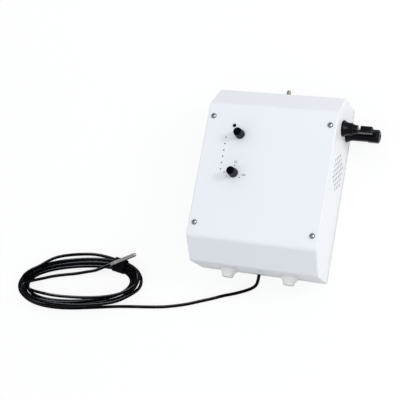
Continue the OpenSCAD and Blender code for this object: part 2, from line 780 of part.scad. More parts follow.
module heat_sink() color("lightgray") {
    base = main_top + transistor_size[2];
    block([sink_x0, sink_x1], [fan_y - sink_w/2, fan_y + sink_w/2], [base, base + sink_base]);
    for (i = [0:sink_fins - 1])
        translate([0, fan_y - sink_w/2 + i*(sink_w - sink_fin_t)/(sink_fins - 1), 0])
            block([sink_x0, sink_x1], [0, sink_fin_t], [base + sink_base/2, sink_top]);
    for (x = [sink_x0 + sink_leg_d, sink_x1 - sink_leg_d], y = [-1, 1])
        translate([x, fan_y + y*(sink_w/2 - sink_leg_d), 0]) rod_z(sink_leg_d, main_top, base + sink_base/2);
}

module power_transistors() color([0.1, 0.1, 0.1])
    for (i = [0:transistor_count - 1])
        translate([sink_x0 + (i + 0.5)*sink_l/transistor_count - transistor_size[0]/2,
                   fan_y - transistor_size[1]/2, main_top])
            cube(transistor_size);

module storage_capacitors() color("midnightblue")
    for (i = [0:cap_count - 1])
        translate([cap_x0 + i*cap_step, cap_y, 0]) difference() {
            rod_z(cap_d, main_top, main_top + cap_h);
            rod_z(cap_d - 6, main_top + cap_h - 0.6, main_top + cap_h + 1);
        }

module relay() color("royalblue") translate([relay_at[0], relay_at[1], main_top]) cube(relay_size);

module output_choke() color("goldenrod") translate([choke_at[0], choke_at[1], main_top]) difference() {
    cylinder(d = choke_d, h = choke_h);
    rod_z(choke_bore, -1, choke_h + 1);
}

module terminal_block() color("seagreen") difference() {
    block(terminal_x, terminal_y, [main_top, main_top + terminal_h]);
    for (x = pole_spots)
        translate([x, 0, 0]) {
            block([-port_w/2, port_w/2], [terminal_y[0] - 1, terminal_y[0] + port_l],
                  [grommet_z - port_w/2, grommet_z + port_w/2]);
            translate([0, terminal_screw_y, 0])
                rod_z(terminal_screw_d + 2*hole_fit, main_top + terminal_screw_foot,
                      main_top + terminal_h + 1);
        }
}

module terminal_screws() color("silver")
    for (x = pole_spots)
        translate([x, terminal_screw_y, main_top + terminal_screw_foot]) difference() {
            cylinder(d = terminal_screw_d, h = terminal_screw_h);
            translate([-terminal_screw_d, -terminal_slot_w/2, terminal_screw_h - terminal_slot_t])
                cube([2*terminal_screw_d, terminal_slot_w, 2*terminal_slot_t]);
        }

// Fan

module fan_frame() color([0.12, 0.12, 0.12]) translate([0, fan_y, fan_z]) {
    difference() {
        block([fan_x0, fan_x1], [-fan_size/2, fan_size/2], [-fan_size/2, fan_size/2]);
        rod_x(fan_bore, fan_x0 - 1, fan_x1 + 1);
        for (y = [-fan_hole, fan_hole], z = [-fan_hole, fan_hole])
            translate([0, y, z]) {
                rod_x(fan_screw_d + 2*hole_fit, fan_x0 - 1, fan_x1 + 1);
                rod_x(fan_screw_head_d + 2*hole_fit, fan_x0 - 1, fan_x1 - fan_web - 1);
            }
    }
    difference() {
        union() {
            rod_x(fan_hub_d, fan_x0, fan_x0 + fan_web);
            for (turn = [45, 135])
                rotate([turn, 0, 0])
                    block([fan_x0, fan_x0 + fan_web], [-fan_bore/2 - 0.5, fan_bore/2 + 0.5], [-1.5, 1.5]);
        }
        rod_x(fan_pin_d + 2*run_fit, fan_x0 - 1, fan_x0 + fan_web + 1);
    }
}

module fan_rotor() color([0.18, 0.18, 0.18])
translate([fan_x0 + fan_web + tip_gap, fan_y, fan_z]) rotate([0, 90, 0]) {
    height = fan_t - fan_web - 2*tip_gap;
    cylinder(d = fan_hub_d, h = height);
    rod_z(fan_pin_d, -fan_web - tip_gap + 0.3, height/2);
    for (i = [0:fan_blades - 1])
        rotate(360*i/fan_blades) intersection() {
            rod_z(fan_bore - 2*tip_gap, blade_inset, height - blade_inset);
            translate([0, 0, height/2]) rotate([blade_pitch, 0, 0])
                block([fan_hub_d/4, fan_bore], [-blade_t/2, blade_t/2], [-height, height]);
        }
}

module fan_screws() color("silver")
    for (spot = fan_spots)
        translate([fan_x1 - fan_web - 1, spot[0], spot[1]]) rotate([0, -90, 0])
            pan_screw(fan_screw_d, fan_screw_head_d, small_head_h, fan_web + 1 + fan_screw_bite);

// Solar connectors

module pv_place(i) translate([pv_face, pv_spots[i][0], pv_spots[i][1]]) children();

module pv_bores(length) {
    rod_x(pv_pin_d + 2*screw_fit, -2*pv_inside - wall, length + 1);
    rod_x(pv_mouth_d, length - pv_mouth_l, length + 1);
}

module front_pv_socket() color([0.06, 0.06, 0.07]) pv_place(0) difference() {
    length = pv_front_l - pv_seal_t;
    window = pv_cone_l + pv_neck_l;
    union() {
        turned_x(pv_front_steps, -pv_seal_t - wall - pv_inside, pv_thread_d);
        translate([window - 1, 0, 0]) rotate([90, 0, 90])
            linear_extrude(length - window + 1) soft_rectangle(pv_tip, pv_tip, pv_tip_round);
    }
    pv_bores(length);
    translate([window, pv_window_from, -pv_neck_d]) cube([pv_window, pv_neck_d, 2*pv_neck_d]);
}

module rear_pv_socket() color([0.06, 0.06, 0.07]) pv_place(1) difference() {
    union() {
        turned_x(pv_rear_steps, -pv_seal_t - wall - pv_inside, pv_thread_d);
        rotate([22.5, 0, 0])
            turned_x([for (step = pv_flat_steps) [step[0], step[1]/cos(22.5)]],
                     pv_body_from, pv_body, $fn = 8);
    }
    pv_bores(pv_rear_l - pv_seal_t);
}

module pv_nuts() color([0.1, 0.1, 0.1])
    for (spot = pv_spots)
        translate([side_in - pv_nut_t, spot[0], spot[1]]) rotate([0, 90, 0]) rotate(30)
            hex_nut(pv_nut_d, pv_thread_d + 2*screw_fit, pv_nut_t);

module pv_seals() color("black")
    for (i = [0, 1])
        pv_place(i) difference() {
            rod_x(pv_flange_d - 2, -pv_seal_t, 0);
            rod_x(pv_thread_d + 2*screw_fit, -pv_seal_t - 1, 1);
        }

module pv_contacts() color("silver")
    for (i = [0, 1])
        pv_place(i)
            rod_x(pv_pin_d, -pv_inside - wall - 8, (i == 0 ? pv_front_l : pv_rear_l) - pv_seal_t - 3);

module pv_ring() color("firebrick") pv_place(0) difference() {
    rod_x(pv_neck_d + 1.6, pv_cone_l, pv_cone_l + pv_ring_w);
    rod_x(pv_neck_d + screw_fit, pv_cone_l - 1, pv_cone_l + pv_ring_w + 1);
}

// Cable entries

module gland_place(x) translate([x, gland_face, gland_z]) rotate([90, 0, 0]) children();

module gland_bodies() color("gainsboro")
    for (x = gland_spots)
        gland_place(x) difference() {
            union() {
                cylinder(d = gland_d, h = gland_flange_t);
                rod_z(gland_thread_d, -wall - gland_inside, gland_flange_t + gland_barrel_l);
            }
            rod_z(gland_bore_d, -wall - gland_inside - 1, gland_h + 1);
        }

module gland_domes() color("gainsboro")
    for (x = gland_spots)
        gland_place(x) difference() {
            rotate_extrude() polygon(concat(
                [for (i = [0:dome_steps])
                    [dome_d(i/dome_steps)/2, mix(gland_flange_t, gland_h, i/dome_steps)]],
                [[0, gland_h], [0, gland_flange_t]]));
            rod_z(gland_thread_d + 2*screw_fit, 0, gland_flange_t + gland_barrel_l);
            rod_z(gland_bore_d + 1, 0, gland_h + 1);
            rod_z(gland_tip_d, 0, gland_flange_t + gland_barrel_l + gland_seal_t);
        }

module gland_seals() color("dimgray")
    for (x = gland_spots)
        gland_place(x) difference() {
            rod_z(gland_tip_d - 2*screw_fit, gland_flange_t + gland_barrel_l,
                  gland_flange_t + gland_barrel_l + gland_seal_t);
            rod_z(gland_bore_d - 1.5, 0, gland_h + 1);
        }

module gland_locknuts() color("gainsboro")
    for (x = gland_spots)
        gland_place(x) translate([0, 0, -wall - gland_nut_t])
            hex_nut(gland_nut_d, gland_thread_d + 2*screw_fit, gland_nut_t);

// Stud with a thread relief just past the outer nut
module earth_stud() color("gold") translate([0, 0, stud_z]) {
    relief = case_h/2 + stud_washer_t + stud_nut_t;
    rod_y(stud_d, end_in - stud_inside, relief);
    rod_y(stud_d - 0.6, relief - 1, relief + stud_groove + 1);
    rod_y(stud_d, relief + stud_groove, case_h/2 + stud_out);
}

module earth_nuts() color("gold") {
    translate([0, case_h/2 + stud_washer_t, stud_z]) rotate([-90, 0, 0])
        hex_nut(stud_nut_d, stud_d + 2*screw_fit, stud_nut_t);
    translate([0, end_in - stud_washer_t, stud_z]) rotate([90, 0, 0])
        hex_nut(stud_nut_d, stud_d + 2*screw_fit, stud_nut_t);
}

module earth_washers() color("gold")
    for (from = [case_h/2, end_in - stud_washer_t])
        translate([0, 0, stud_z]) difference() {
            rod_y(stud_washer_d, from, from + stud_washer_t);
            rod_y(stud_d + 2*screw_fit, from - 1, from + stud_washer_t + 1);
        }

// Sensor lead

module sensor_grommet() color([0.08, 0.08, 0.08]) translate([0, 0, grommet_z]) difference() {
    union() {
        rod_y(grommet_flange_d, grommet_face, gland_face);
        rod_y(grommet_groove_d - 2*screw_fit, gland_face - 1, gland_face + wall + 1);
        rod_y(grommet_flange_d, gland_face + wall, gland_face + wall + grommet_flange_t);
    }
    rod_y(lead_d + 2*screw_fit, grommet_face - 1, gland_face + wall + grommet_flange_t + 1);
}

module inner_lead() color([0.08, 0.08, 0.08]) translate([0, 0, grommet_z])
    rod_y(lead_d, grommet_face, terminal_y[0] + port_l);

module sensor_lead() color([0.08, 0.08, 0.08])
    tube(concat(lead_route, [coil_start - coil_in_dir*5*lead_d, coil_start]), lead_d, 8);

module sensor_coil() color([0.08, 0.08, 0.08]) tube(coil_route, lead_d, 6);

// Strap round the coil's turns, square to them
module cable_wrap() color([0.05, 0.05, 0.05]) {
    near = coil_flat(wrap_angle, wrap_reach[1]);
    far = coil_flat(wrap_angle, wrap_reach[0]);
    ahead = coil_flat(wrap_angle - 1, 0.5);
    behind = coil_flat(wrap_angle + 1, 0.5);
    dir = unit(ahead - behind);
    across = abs(cross([dir[0], dir[1]], far - near)) + lead_d + 2*soft_fit + 0.8;
    height = lead_d + turn_up + 2*soft_fit;
    middle = (near + far)/2;
    translate([middle[0], middle[1], wrap_t + height/2]) rotate([90, 0, 90 + atan2(dir[1], dir[0])])
        linear_extrude(wrap_w, center = true) difference() {
            soft_rectangle(across + 2*wrap_t, height + 2*wrap_t, 4.2);
            soft_rectangle(across, height, 3);
        }
}

module sensor_probe() color("lightgray") translate(coil_end)
    rotate([0, acos(coil_out_dir[2]), atan2(coil_out_dir[1], coil_out_dir[0])]) {
        rod_z(probe_d - 0.8, 0, 7);
        rod_z(probe_d, 6, probe_l - probe_d/2);
        translate([0, 0, probe_l - probe_d/2]) sphere(d = probe_d);
    }

back_plate();
rear_gasket();
front_cover();
left_rail();
right_rail();
rail_screws();
cover_screws();
control_board();
control_screws();
upper_pot();
lower_pot();
upper_shaft();
lower_shaft();
upper_knob();
lower_knob();
push_button();
button_switch();
light_pipes();
light_chips();
main_board();
main_standoffs();
main_screws();
heat_sink();
power_transistors();
storage_capacitors();
relay();
output_choke();
terminal_block();
terminal_screws();
fan_frame();
fan_rotor();
fan_screws();
front_pv_socket();
rear_pv_socket();
pv_nuts();
pv_seals();
pv_contacts();
pv_ring();
gland_bodies();
gland_domes();
gland_seals();
gland_locknuts();
earth_stud();
earth_nuts();
earth_washers();
sensor_grommet();
inner_lead();
sensor_lead();
sensor_coil();
cable_wrap();
sensor_probe();
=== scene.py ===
"""Dresses a wall-mounted solar inverter: finishes, sensor lead, screws, soft edges and a plain studio."""
from math import atan2, cos, pi, radians, sin

import bpy
from bpy.props import FloatProperty, FloatVectorProperty, IntProperty, PointerProperty
from mathutils import Matrix, Vector


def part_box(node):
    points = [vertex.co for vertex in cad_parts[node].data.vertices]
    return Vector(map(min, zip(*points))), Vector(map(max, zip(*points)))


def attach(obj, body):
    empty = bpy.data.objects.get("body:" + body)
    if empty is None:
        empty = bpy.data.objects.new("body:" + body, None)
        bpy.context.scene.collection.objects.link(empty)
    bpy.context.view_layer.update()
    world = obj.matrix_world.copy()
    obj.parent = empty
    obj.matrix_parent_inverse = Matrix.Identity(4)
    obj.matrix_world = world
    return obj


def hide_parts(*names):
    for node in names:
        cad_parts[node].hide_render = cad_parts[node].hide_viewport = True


bl_info = {
    "name": "Wall-mounted solar inverter",
    "version": (1, 0, 0),
    "blender": (4, 5, 0),
    "location": "View3D > Sidebar > Inverter",
    "description": "Finishes, sensor lead, screws, soft edges and studio for the inverter's CAD frame",
    "category": "Object",
}

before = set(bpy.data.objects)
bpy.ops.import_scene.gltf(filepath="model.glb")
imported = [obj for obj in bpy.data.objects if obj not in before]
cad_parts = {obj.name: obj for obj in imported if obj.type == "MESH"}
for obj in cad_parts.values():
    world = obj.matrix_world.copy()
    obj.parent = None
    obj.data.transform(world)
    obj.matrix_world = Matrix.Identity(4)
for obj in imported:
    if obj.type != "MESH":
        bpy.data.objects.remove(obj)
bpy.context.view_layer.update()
MM = 0.001
HOUSING = "housing"


# Sizes of the sensor lead in millimetres, the same as in the part's source

LEAD_WIDE = 4.8
LEAD_LOW = LEAD_WIDE/2
GROMMET_FACE = -132
GROMMET_Z = 20
COIL_MID = Vector((-289.0, GROMMET_FACE - 49.5))
COIL_TILT = radians(10)
COIL_HALF_LENGTH = 102
COIL_HALF_WIDTH = 37.4
COIL_ROUND = 0.12
COIL_END_SHARE = 0.2
TURN_LONG = 1.5*LEAD_WIDE
TURN_CROSS = LEAD_WIDE + 0.8
TURN_UP = LEAD_WIDE + 0.55
COIL_TURNS = 6.58
BOTTOM_TURNS = 2
CLIMB_TURNS = 0.5
TOP_TURNS = 4.65
COIL_STUB = 1
WRAP_ANGLE = radians(44)
WRAP_LIFT = 1.5
WRAP_LIFT_POWER = 8
WRAP_THICK = 1.2
WRAP_REACH = (-0.5, 1.9)
WRAP_ROOM = 0.8
SOFT_FIT = 0.3
# The last loose turns of the coil, as (turn, steps in from the outer turn, layers up)
LOOSE_TURN = [
    (4.65, -0.15, 1), (4.76, -0.05, 2), (4.85, 0.9, 2), (4.95, 2.1, 2), (5.03, 3.05, 1.3), (5.1, 3.45, 0),
    (5.16, 3, 2), (5.38, 0.32, 2), (5.41, 0.3, 2), (5.465, -1.1, 1.9), (5.51, -1.6, 0),
    (5.58, -0.55, 0), (5.72, -0.2, 0), (5.8, -0.2, 0), (5.9, -0.3, 2), (5.99, 0.5, 2), (6.05, 0.9, 2.2),
    (6.17, 1.6, 3.6), (6.25, 2.2, 3.4), (6.4, 3.6, 0), (6.48, 3.8, 0), (6.54, 3.45, 1.7), (6.63, -1.6, 3)]
# Route from the grommet to the coil in millimetres, with places up the front counted from the grommet
LEAD_ROUTE = [
    (0, 0, GROMMET_Z), (0, -5, GROMMET_Z), (-1, -10, 18), (-4, -15, 13.5), (-10, -19, 8.5),
    (-18, -22.5, 4.8), (-28, -26.5, LEAD_LOW + 0.4), (-40, -31, LEAD_LOW), (-55, -36, LEAD_LOW),
    (-70, -42, LEAD_LOW), (-88, -48.5, LEAD_LOW), (-106, -55, LEAD_LOW), (-125, -60.5, LEAD_LOW),
    (-145, -65, LEAD_LOW), (-165, -68, LEAD_LOW), (-185, -70.5, LEAD_LOW), (-205, -73, LEAD_LOW),
    (-225, -76, LEAD_LOW)]

# Counts for the lead's route, and finer sizes of its strap and probe in millimetres
STRAIGHT_DIAMETERS = 5
ROUTE_PARTS = 8
STRAP_CORNER = 4.2
STRAP_EDGE = 0.35
PROBE_NECK_LONG = 6
PROBE_STEP = 0.4
PROBE_EDGE = 0.3
PROBE_SLOPE = 0.5
CRIMP_PLACES = (9, 12)
CRIMP_DEEP = 0.35
CRIMP_SLOPE = 0.4
CRIMP_LONG = 1.6

# Scale of the lower dial in degrees and millimetres: each dot's bearing, its number and where that stands
DIAL_NUMBERS = [(-120, "0", (-4, 5.2)), (0, "50", (0.4, 4.8)), (120, "100", (5.2, 4))]
DOT_AWAY = 11.3
DOT_RADIUS = 0.8
DOT_INSET = 0.08
DOT_RISE = 0.02
NUMBER_TALL = 4.4
PRINT_THICK = 0.08

# Sizes of a cover screw in millimetres, the taper of its recess and the steps in its dome
SCREW_HEAD = 8
SCREW_WIDE = 4
RECESS_LONG = 4.6
RECESS_WIDE = 1.4
RECESS_DEEP = 1.7
RECESS_FOOT = 0.55
DOME_PARTS = 12

# Thread of the earth stud and the width of softened edges in millimetres
THREAD_PITCH = 1
THREAD_DEEP = 0.4
KNOB_EDGE = 0.4
CONNECTOR_EDGE = 0.35
RING_EDGE = 0.3
GLAND_EDGE = 0.4
NUT_EDGE = 0.3
WASHER_EDGE = 0.2

# Camera of the photograph: its place in metres, its directions and its sensor in millimetres
CAMERA_PLACE = (0.4603, -0.3257, 1.4750)
CAMERA_RIGHT = Vector((0.9276, 0.1788, -0.3280))
CAMERA_DOWN = Vector((0.1032, -0.9665, -0.2349))
CAMERA_AHEAD = Vector((-0.3590, 0.1841, -0.9150))
SENSOR_WIDE = 36

# Studio: places and sizes in metres, light colours, and the share of the floor that glows for the camera
FLOOR_SIZE = 12
FLOOR_DROP = 0.0003
FLOOR_GLOW = 0.85
KEY_PLACE = (1.6, 0.6, 1.15)
KEY_SIZE = 0.5
TABLE_PLACE = (0.5, 0, 0.002)
TABLE_TARGET = (0.5, 0, 1)
TABLE_SIZE = 0.8
RIGHT_GLINT_PLACE = (1.05, 0.1, 1.8)
LEFT_GLINT_PLACE = (-1.5, 1.1, 0.9)
GLINT_SIZE = 1.2
ORIGIN = (0, 0, 0)
WARM = (1, 0.985, 0.955)
COOL = (0.88, 0.92, 1)
WHITE = (1, 1, 1)


# Settings

class FinishSettings(bpy.types.PropertyGroup):
    """Colours of the inverter's visible surfaces"""
    cover_colour: FloatVectorProperty(
        name="Cover", description="Moulded white of the cover and back plate",
        subtype="COLOR", size=3, min=0, max=1, default=(0.86, 0.876, 0.91))
    gland_colour: FloatVectorProperty(
        name="Glands", description="Pale nylon of the cable glands",
        subtype="COLOR", size=3, min=0, max=1, default=(0.86, 0.87, 0.86))
    black_colour: FloatVectorProperty(
        name="Black plastic", description="Knob tops and button",
        subtype="COLOR", size=3, min=0, max=1, default=(0.0010, 0.0022, 0.0042))
    sheath_colour: FloatVectorProperty(
        name="Sheath", description="Outer skin of the sensor lead",
        subtype="COLOR", size=3, min=0, max=1, default=(0.0004, 0.0006, 0.0020))
    print_colour: FloatVectorProperty(
        name="Print", description="Ink of the dial marks",
        subtype="COLOR", size=3, min=0, max=1, default=(0.02, 0.02, 0.025))


class LeadSettings(bpy.types.PropertyGroup):
    """Sizes of the sensor lead"""
    diameter: FloatProperty(
        name="Diameter", description="Diameter of the lead", unit="LENGTH", default=LEAD_WIDE*MM)
    rings: IntProperty(
        name="Points per turn", description="Route points in one turn of the coil", default=96)
    probe_diameter: FloatProperty(
        name="Probe diameter", description="Diameter of the probe's steel tube", unit="LENGTH", default=6*MM)
    probe_length: FloatProperty(
        name="Probe length", description="Length of the probe's steel tube", unit="LENGTH", default=45*MM)
    strap_width: FloatProperty(
        name="Strap width", description="Width of the strap round the coil", unit="LENGTH", default=18*MM)


class StageSettings(bpy.types.PropertyGroup):
    """Studio round the inverter"""
    floor_colour: FloatVectorProperty(
        name="Floor", description="Tone of the floor in the light that it throws back",
        subtype="COLOR", size=3, min=0, max=1, default=(0.2, 0.2, 0.2))
    key_power: FloatProperty(
        name="Key light", description="Power of the light on the right", unit="POWER", default=10)
    table_power: FloatProperty(
        name="Table light", description="Power of the light panel on the floor beside it",
        unit="POWER", default=1.0)
    glint_power: FloatProperty(
        name="Glint", description="Power of the soft panel that only shiny surfaces show",
        unit="POWER", default=40)
    lead_power: FloatProperty(
        name="Lead glint", description="Power of the soft panel that only the lead shows",
        unit="POWER", default=220)
    sky: FloatProperty(name="Sky", description="Strength of the even light all round", default=0.90)
    sky_colour: FloatVectorProperty(
        name="Sky colour", description="Colour of the light from the sky",
        subtype="COLOR", size=3, min=0, max=1, default=(0.94, 0.97, 1))
    focal_length: FloatProperty(
        name="Focal length", description="Camera focal length for a 36 mm sensor",
        unit="CAMERA", default=96.01)


# Route of the sensor lead

def ease(t):
    return t*t*(3 - 2*t)


def loose_slope(spot, part):
    """Slope of the loose turns at one of their points, level where they turn back."""
    if spot in (0, len(LOOSE_TURN) - 1):
        return 0
    a, b, c = LOOSE_TURN[spot - 1:spot + 2]
    first = (b[part] - a[part])/(b[0] - a[0])
    second = (c[part] - b[part])/(c[0] - b[0])
    return 2*first*second/(first + second) if first*second > 0 else 0


def loose(turn, part):
    """Steps in (part 1) or layers up (part 2) along the coil's last loose turns."""
    spot = 0
    while spot < len(LOOSE_TURN) - 2 and turn > LOOSE_TURN[spot + 1][0]:
        spot += 1
    before, after = LOOSE_TURN[spot], LOOSE_TURN[spot + 1]
    span = after[0] - before[0]
    t = (turn - before[0])/span
    swing = (1 - t)*loose_slope(spot, part) - t*loose_slope(spot + 1, part)
    return before[part] + (after[part] - before[part])*ease(t) + span*t*(1 - t)*swing


def coil_inward(turn):
    """Steps in from the outer turn: in along the bottom layer, back out along the top one, then loose."""
    if turn < BOTTOM_TURNS:
        return turn
    if turn < BOTTOM_TURNS + CLIMB_TURNS:
        past = turn - BOTTOM_TURNS
        return BOTTOM_TURNS + past*(1 - past/CLIMB_TURNS)
    if turn < TOP_TURNS:
        return BOTTOM_TURNS - (turn - BOTTOM_TURNS - CLIMB_TURNS)
    return loose(turn, 1)


def coil_layer(turn):
    """Layers up from the floor."""
    if turn < BOTTOM_TURNS:
        return 0
    if turn < BOTTOM_TURNS + CLIMB_TURNS:
        return ease((turn - BOTTOM_TURNS)/CLIMB_TURNS)
    return 1 if turn < TOP_TURNS else loose(turn, 2)


def coil_flat(angle, steps):
    """A point of the flat coil at an angle, so many steps in from its outer turn."""
    along = (COIL_HALF_LENGTH - TURN_LONG*steps)*cos(angle)
    across = (COIL_HALF_WIDTH - TURN_CROSS*steps)*sin(angle)*(1 + COIL_ROUND*cos(angle)**2)
    return COIL_MID + Vector((along*cos(COIL_TILT) - across*sin(COIL_TILT),
                              along*sin(COIL_TILT) + across*cos(COIL_TILT)))


def coil_point(turn, diameter):
    """Centre of the lead in the coil, with more points in its tight ends, lifted by the strap under it."""
    even = -pi/2 - 2*pi*turn
    angle = even - COIL_END_SHARE*sin(2*even)
    flat = coil_flat(angle, coil_inward(turn))
    lift = WRAP_LIFT*max(0, cos(angle - WRAP_ANGLE))**WRAP_LIFT_POWER
    return Vector((flat.x, flat.y, diameter/2 + coil_layer(turn)*TURN_UP + lift))


def smooth_route(points, parts):
    """Points of a smooth curve through the given points."""
    ends = [2*points[0] - points[1], *points, 2*points[-1] - points[-2]]
    route = []
    for a, b, c, d in zip(ends, ends[1:], ends[2:], ends[3:]):
        for k in range(parts):
            t = k/parts
            route.append(0.5*(2*b + (c - a)*t + (2*a - 5*b + 4*c - d)*t*t + (3*b - 3*c + d - a)*t**3))
    return [*route, points[-1]]


def lead_points(lead):
    """Centre line of the whole lead in metres, and its direction at the probe."""
    wide = lead.diameter/MM
    rings = round(COIL_TURNS*lead.rings)
    coil = [coil_point(COIL_TURNS*i/rings, wide) for i in range(rings + 1)]
    first = Vector((-cos(COIL_TILT), -sin(COIL_TILT), 0))
    last = (coil[-1] - coil[-2]).normalized()
    start = coil[0] - first*wide
    route = [Vector((x, GROMMET_FACE + y, z)) for x, y, z in LEAD_ROUTE]
    route += [start - first*STRAIGHT_DIAMETERS*wide, start]
    line = smooth_route(route, ROUTE_PARTS) + coil + [coil[-1] + last*COIL_STUB]
    return [p*MM for p in line], last


# Modelling helpers

def deselect():
    if bpy.context.object and bpy.context.object.mode != "OBJECT":
        bpy.ops.object.mode_set(mode="OBJECT")
    bpy.ops.object.select_all(action="DESELECT")


def make_active(piece):
    deselect()
    piece.select_set(True)
    bpy.context.view_layer.objects.active = piece


def clear_selection(piece, kind):
    """Deselects all of a piece's mesh, ready to select by faces or edges."""
    make_active(piece)
    bpy.ops.object.mode_set(mode="EDIT")
    bpy.ops.mesh.select_mode(type=kind)
    bpy.ops.mesh.select_all(action="DESELECT")
    bpy.ops.object.mode_set(mode="OBJECT")


def select_faces(piece, test):
    """Leaves the piece in edit mode with the faces selected that pass the test."""
    clear_selection(piece, "FACE")
    for face in piece.data.polygons:
        face.select = bool(test(face))
    bpy.ops.object.mode_set(mode="EDIT")


def select_edges(piece, test):
    """Leaves the piece in edit mode with the edges selected whose two ends pass the test."""
    clear_selection(piece, "EDGE")
    points = piece.data.vertices
    for edge in piece.data.edges:
        edge.select = bool(test(points[edge.vertices[0]].co, points[edge.vertices[1]].co))
    bpy.ops.object.mode_set(mode="EDIT")


def add_soft_edge(piece, width, angle):
    """Adds a small bevel to the edges that turn by more than the angle."""
    soft = piece.modifiers.new("soft edge", "BEVEL")
    soft.width = width
    soft.segments = 2
    soft.limit_method = "ANGLE"
    soft.angle_limit = radians(angle)


def apply_modifiers(piece):
    make_active(piece)
    for modifier in list(piece.modifiers):
        bpy.ops.object.modifier_apply(modifier=modifier.name)


def settle(piece, place=Matrix.Identity(4), angle=35):
    """Puts the piece's place into its mesh, turns its faces outwards and smooths it."""
    make_active(piece)
    piece.matrix_world = place @ piece.matrix_world
    bpy.ops.object.transform_apply(location=True, rotation=True, scale=True)
    bpy.ops.object.mode_set(mode="EDIT")
    bpy.ops.mesh.select_all(action="SELECT")
    bpy.ops.mesh.remove_doubles(threshold=1e-6)
    bpy.ops.mesh.normals_make_consistent(inside=False)
    bpy.ops.object.mode_set(mode="OBJECT")
    bpy.ops.object.shade_smooth_by_angle(angle=radians(angle))


def turned(name, steps, sides=40):
    """A turned piece along Z: a disc that is extruded and resized from step to step of (height, radius)."""
    deselect()
    height, radius = steps[0]
    bpy.ops.mesh.primitive_circle_add(
        vertices=sides, radius=radius, fill_type="NGON", location=(0, 0, height))
    piece = bpy.context.object
    piece.name = name
    bpy.ops.object.transform_apply(location=True, rotation=True, scale=True)
    bpy.ops.object.mode_set(mode="EDIT")
    bpy.ops.mesh.select_all(action="SELECT")
    for next_height, next_radius in steps[1:]:
        bpy.ops.mesh.extrude_region_move(TRANSFORM_OT_translate={"value": (0, 0, next_height - height)})
        grow = next_radius/radius
        bpy.ops.transform.resize(value=(grow, grow, 1), center_override=(0, 0, next_height))
        height, radius = next_height, next_radius
    bpy.ops.object.mode_set(mode="OBJECT")
    return piece


def join(pieces, name):
    make_active(pieces[0])
    for piece in pieces:
        piece.select_set(True)
    bpy.ops.object.join()
    bpy.context.object.name = name
    return bpy.context.object


def dress(piece, material):
    """Gives a piece or a CAD node one material."""
    if not piece.material_slots:
        piece.data.materials.append(material)
    for place in piece.material_slots:
        place.material = material


def softened(node, name, finish, body, width):
    """A copy of a CAD node with its triangles merged and its edges softened, which stands for the node."""
    piece = bpy.data.objects.new(name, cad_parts[node].data.copy())
    bpy.context.scene.collection.objects.link(piece)
    make_active(piece)
    bpy.ops.object.mode_set(mode="EDIT")
    bpy.ops.mesh.select_all(action="SELECT")
    bpy.ops.mesh.remove_doubles(threshold=1e-6)
    bpy.ops.mesh.dissolve_limited(angle_limit=radians(1))
    bpy.ops.object.mode_set(mode="OBJECT")
    add_soft_edge(piece, width, 25)
    apply_modifiers(piece)
    settle(piece)
    dress(piece, FINISHES[finish])
    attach(piece, body)
    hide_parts(node)
    return piece


# Finishes

def new_group(name, inputs, outputs):
    group = bpy.data.node_groups.new(name, "ShaderNodeTree")
    for socket, kind, default in inputs:
        made = group.interface.new_socket(socket, in_out="INPUT", socket_type=kind)
        if default is not None:
            made.default_value = default
    for socket, kind in outputs:
        group.interface.new_socket(socket, in_out="OUTPUT", socket_type=kind)
    return group, group.nodes.new("NodeGroupInput"), group.nodes.new("NodeGroupOutput")


def grain_group():
    """Fine moulded grain over broad faint unevenness."""
    group, given, out = new_group(
        "Moulded grain",
        [("Vector", "NodeSocketVector", None), ("Grain size", "NodeSocketFloat", 900.0),
         ("Cloud size", "NodeSocketFloat", 14.0)],
        [("Grain", "NodeSocketFloat"), ("Cloud", "NodeSocketFloat")])
    fine = group.nodes.new("ShaderNodeTexNoise")
    fine.inputs["Detail"].default_value = 3
    broad = group.nodes.new("ShaderNodeTexNoise")
    broad.inputs["Detail"].default_value = 2
    for texture, size, result in ((fine, "Grain size", "Grain"), (broad, "Cloud size", "Cloud")):
        group.links.new(given.outputs["Vector"], texture.inputs["Vector"])
        group.links.new(given.outputs[size], texture.inputs["Scale"])
        group.links.new(texture.outputs["Fac"], out.inputs[result])
    return group


def brushed_group():
    """Long fine scratches along one axis."""
    group, given, out = new_group(
        "Brushed lines",
        [("Vector", "NodeSocketVector", None), ("Stretch", "NodeSocketVector", (1500.0, 1500.0, 60.0))],
        [("Lines", "NodeSocketFloat")])
    scale = group.nodes.new("ShaderNodeVectorMath")
    scale.operation = "MULTIPLY"
    lines = group.nodes.new("ShaderNodeTexNoise")
    lines.inputs["Scale"].default_value = 1
    lines.inputs["Detail"].default_value = 4
    group.links.new(given.outputs["Vector"], scale.inputs[0])
    group.links.new(given.outputs["Stretch"], scale.inputs[1])
    group.links.new(scale.outputs["Vector"], lines.inputs["Vector"])
    group.links.new(lines.outputs["Fac"], out.inputs["Lines"])
    return group


def start_material(name):
    material = bpy.data.materials.new(name)
    material.use_nodes = True
    tree = material.node_tree
    return material, tree, tree.nodes["Principled BSDF"]


def object_place(tree):
    return tree.nodes.new("ShaderNodeTexCoord").outputs["Object"]


def spread(tree, value, low, high):
    """Maps a noise value to a range."""
    ramp = tree.nodes.new("ShaderNodeMapRange")
    ramp.inputs["From Min"].default_value = 0.3
    ramp.inputs["From Max"].default_value = 0.7
    ramp.inputs["To Min"].default_value = low
    ramp.inputs["To Max"].default_value = high
    tree.links.new(value, ramp.inputs["Value"])
    return ramp.outputs["Result"]


def tint(tree, value, colour, change):
    """Two tones of a colour, mixed by a noise value."""
    mix = tree.nodes.new("ShaderNodeMix")
    mix.data_type = "RGBA"
    mix.inputs["A"].default_value = (*[c*(1 - change) for c in colour], 1)
    mix.inputs["B"].default_value = (*[min(1, c*(1 + change)) for c in colour], 1)
    tree.links.new(spread(tree, value, 0, 1), mix.inputs["Factor"])
    return mix.outputs["Result"]


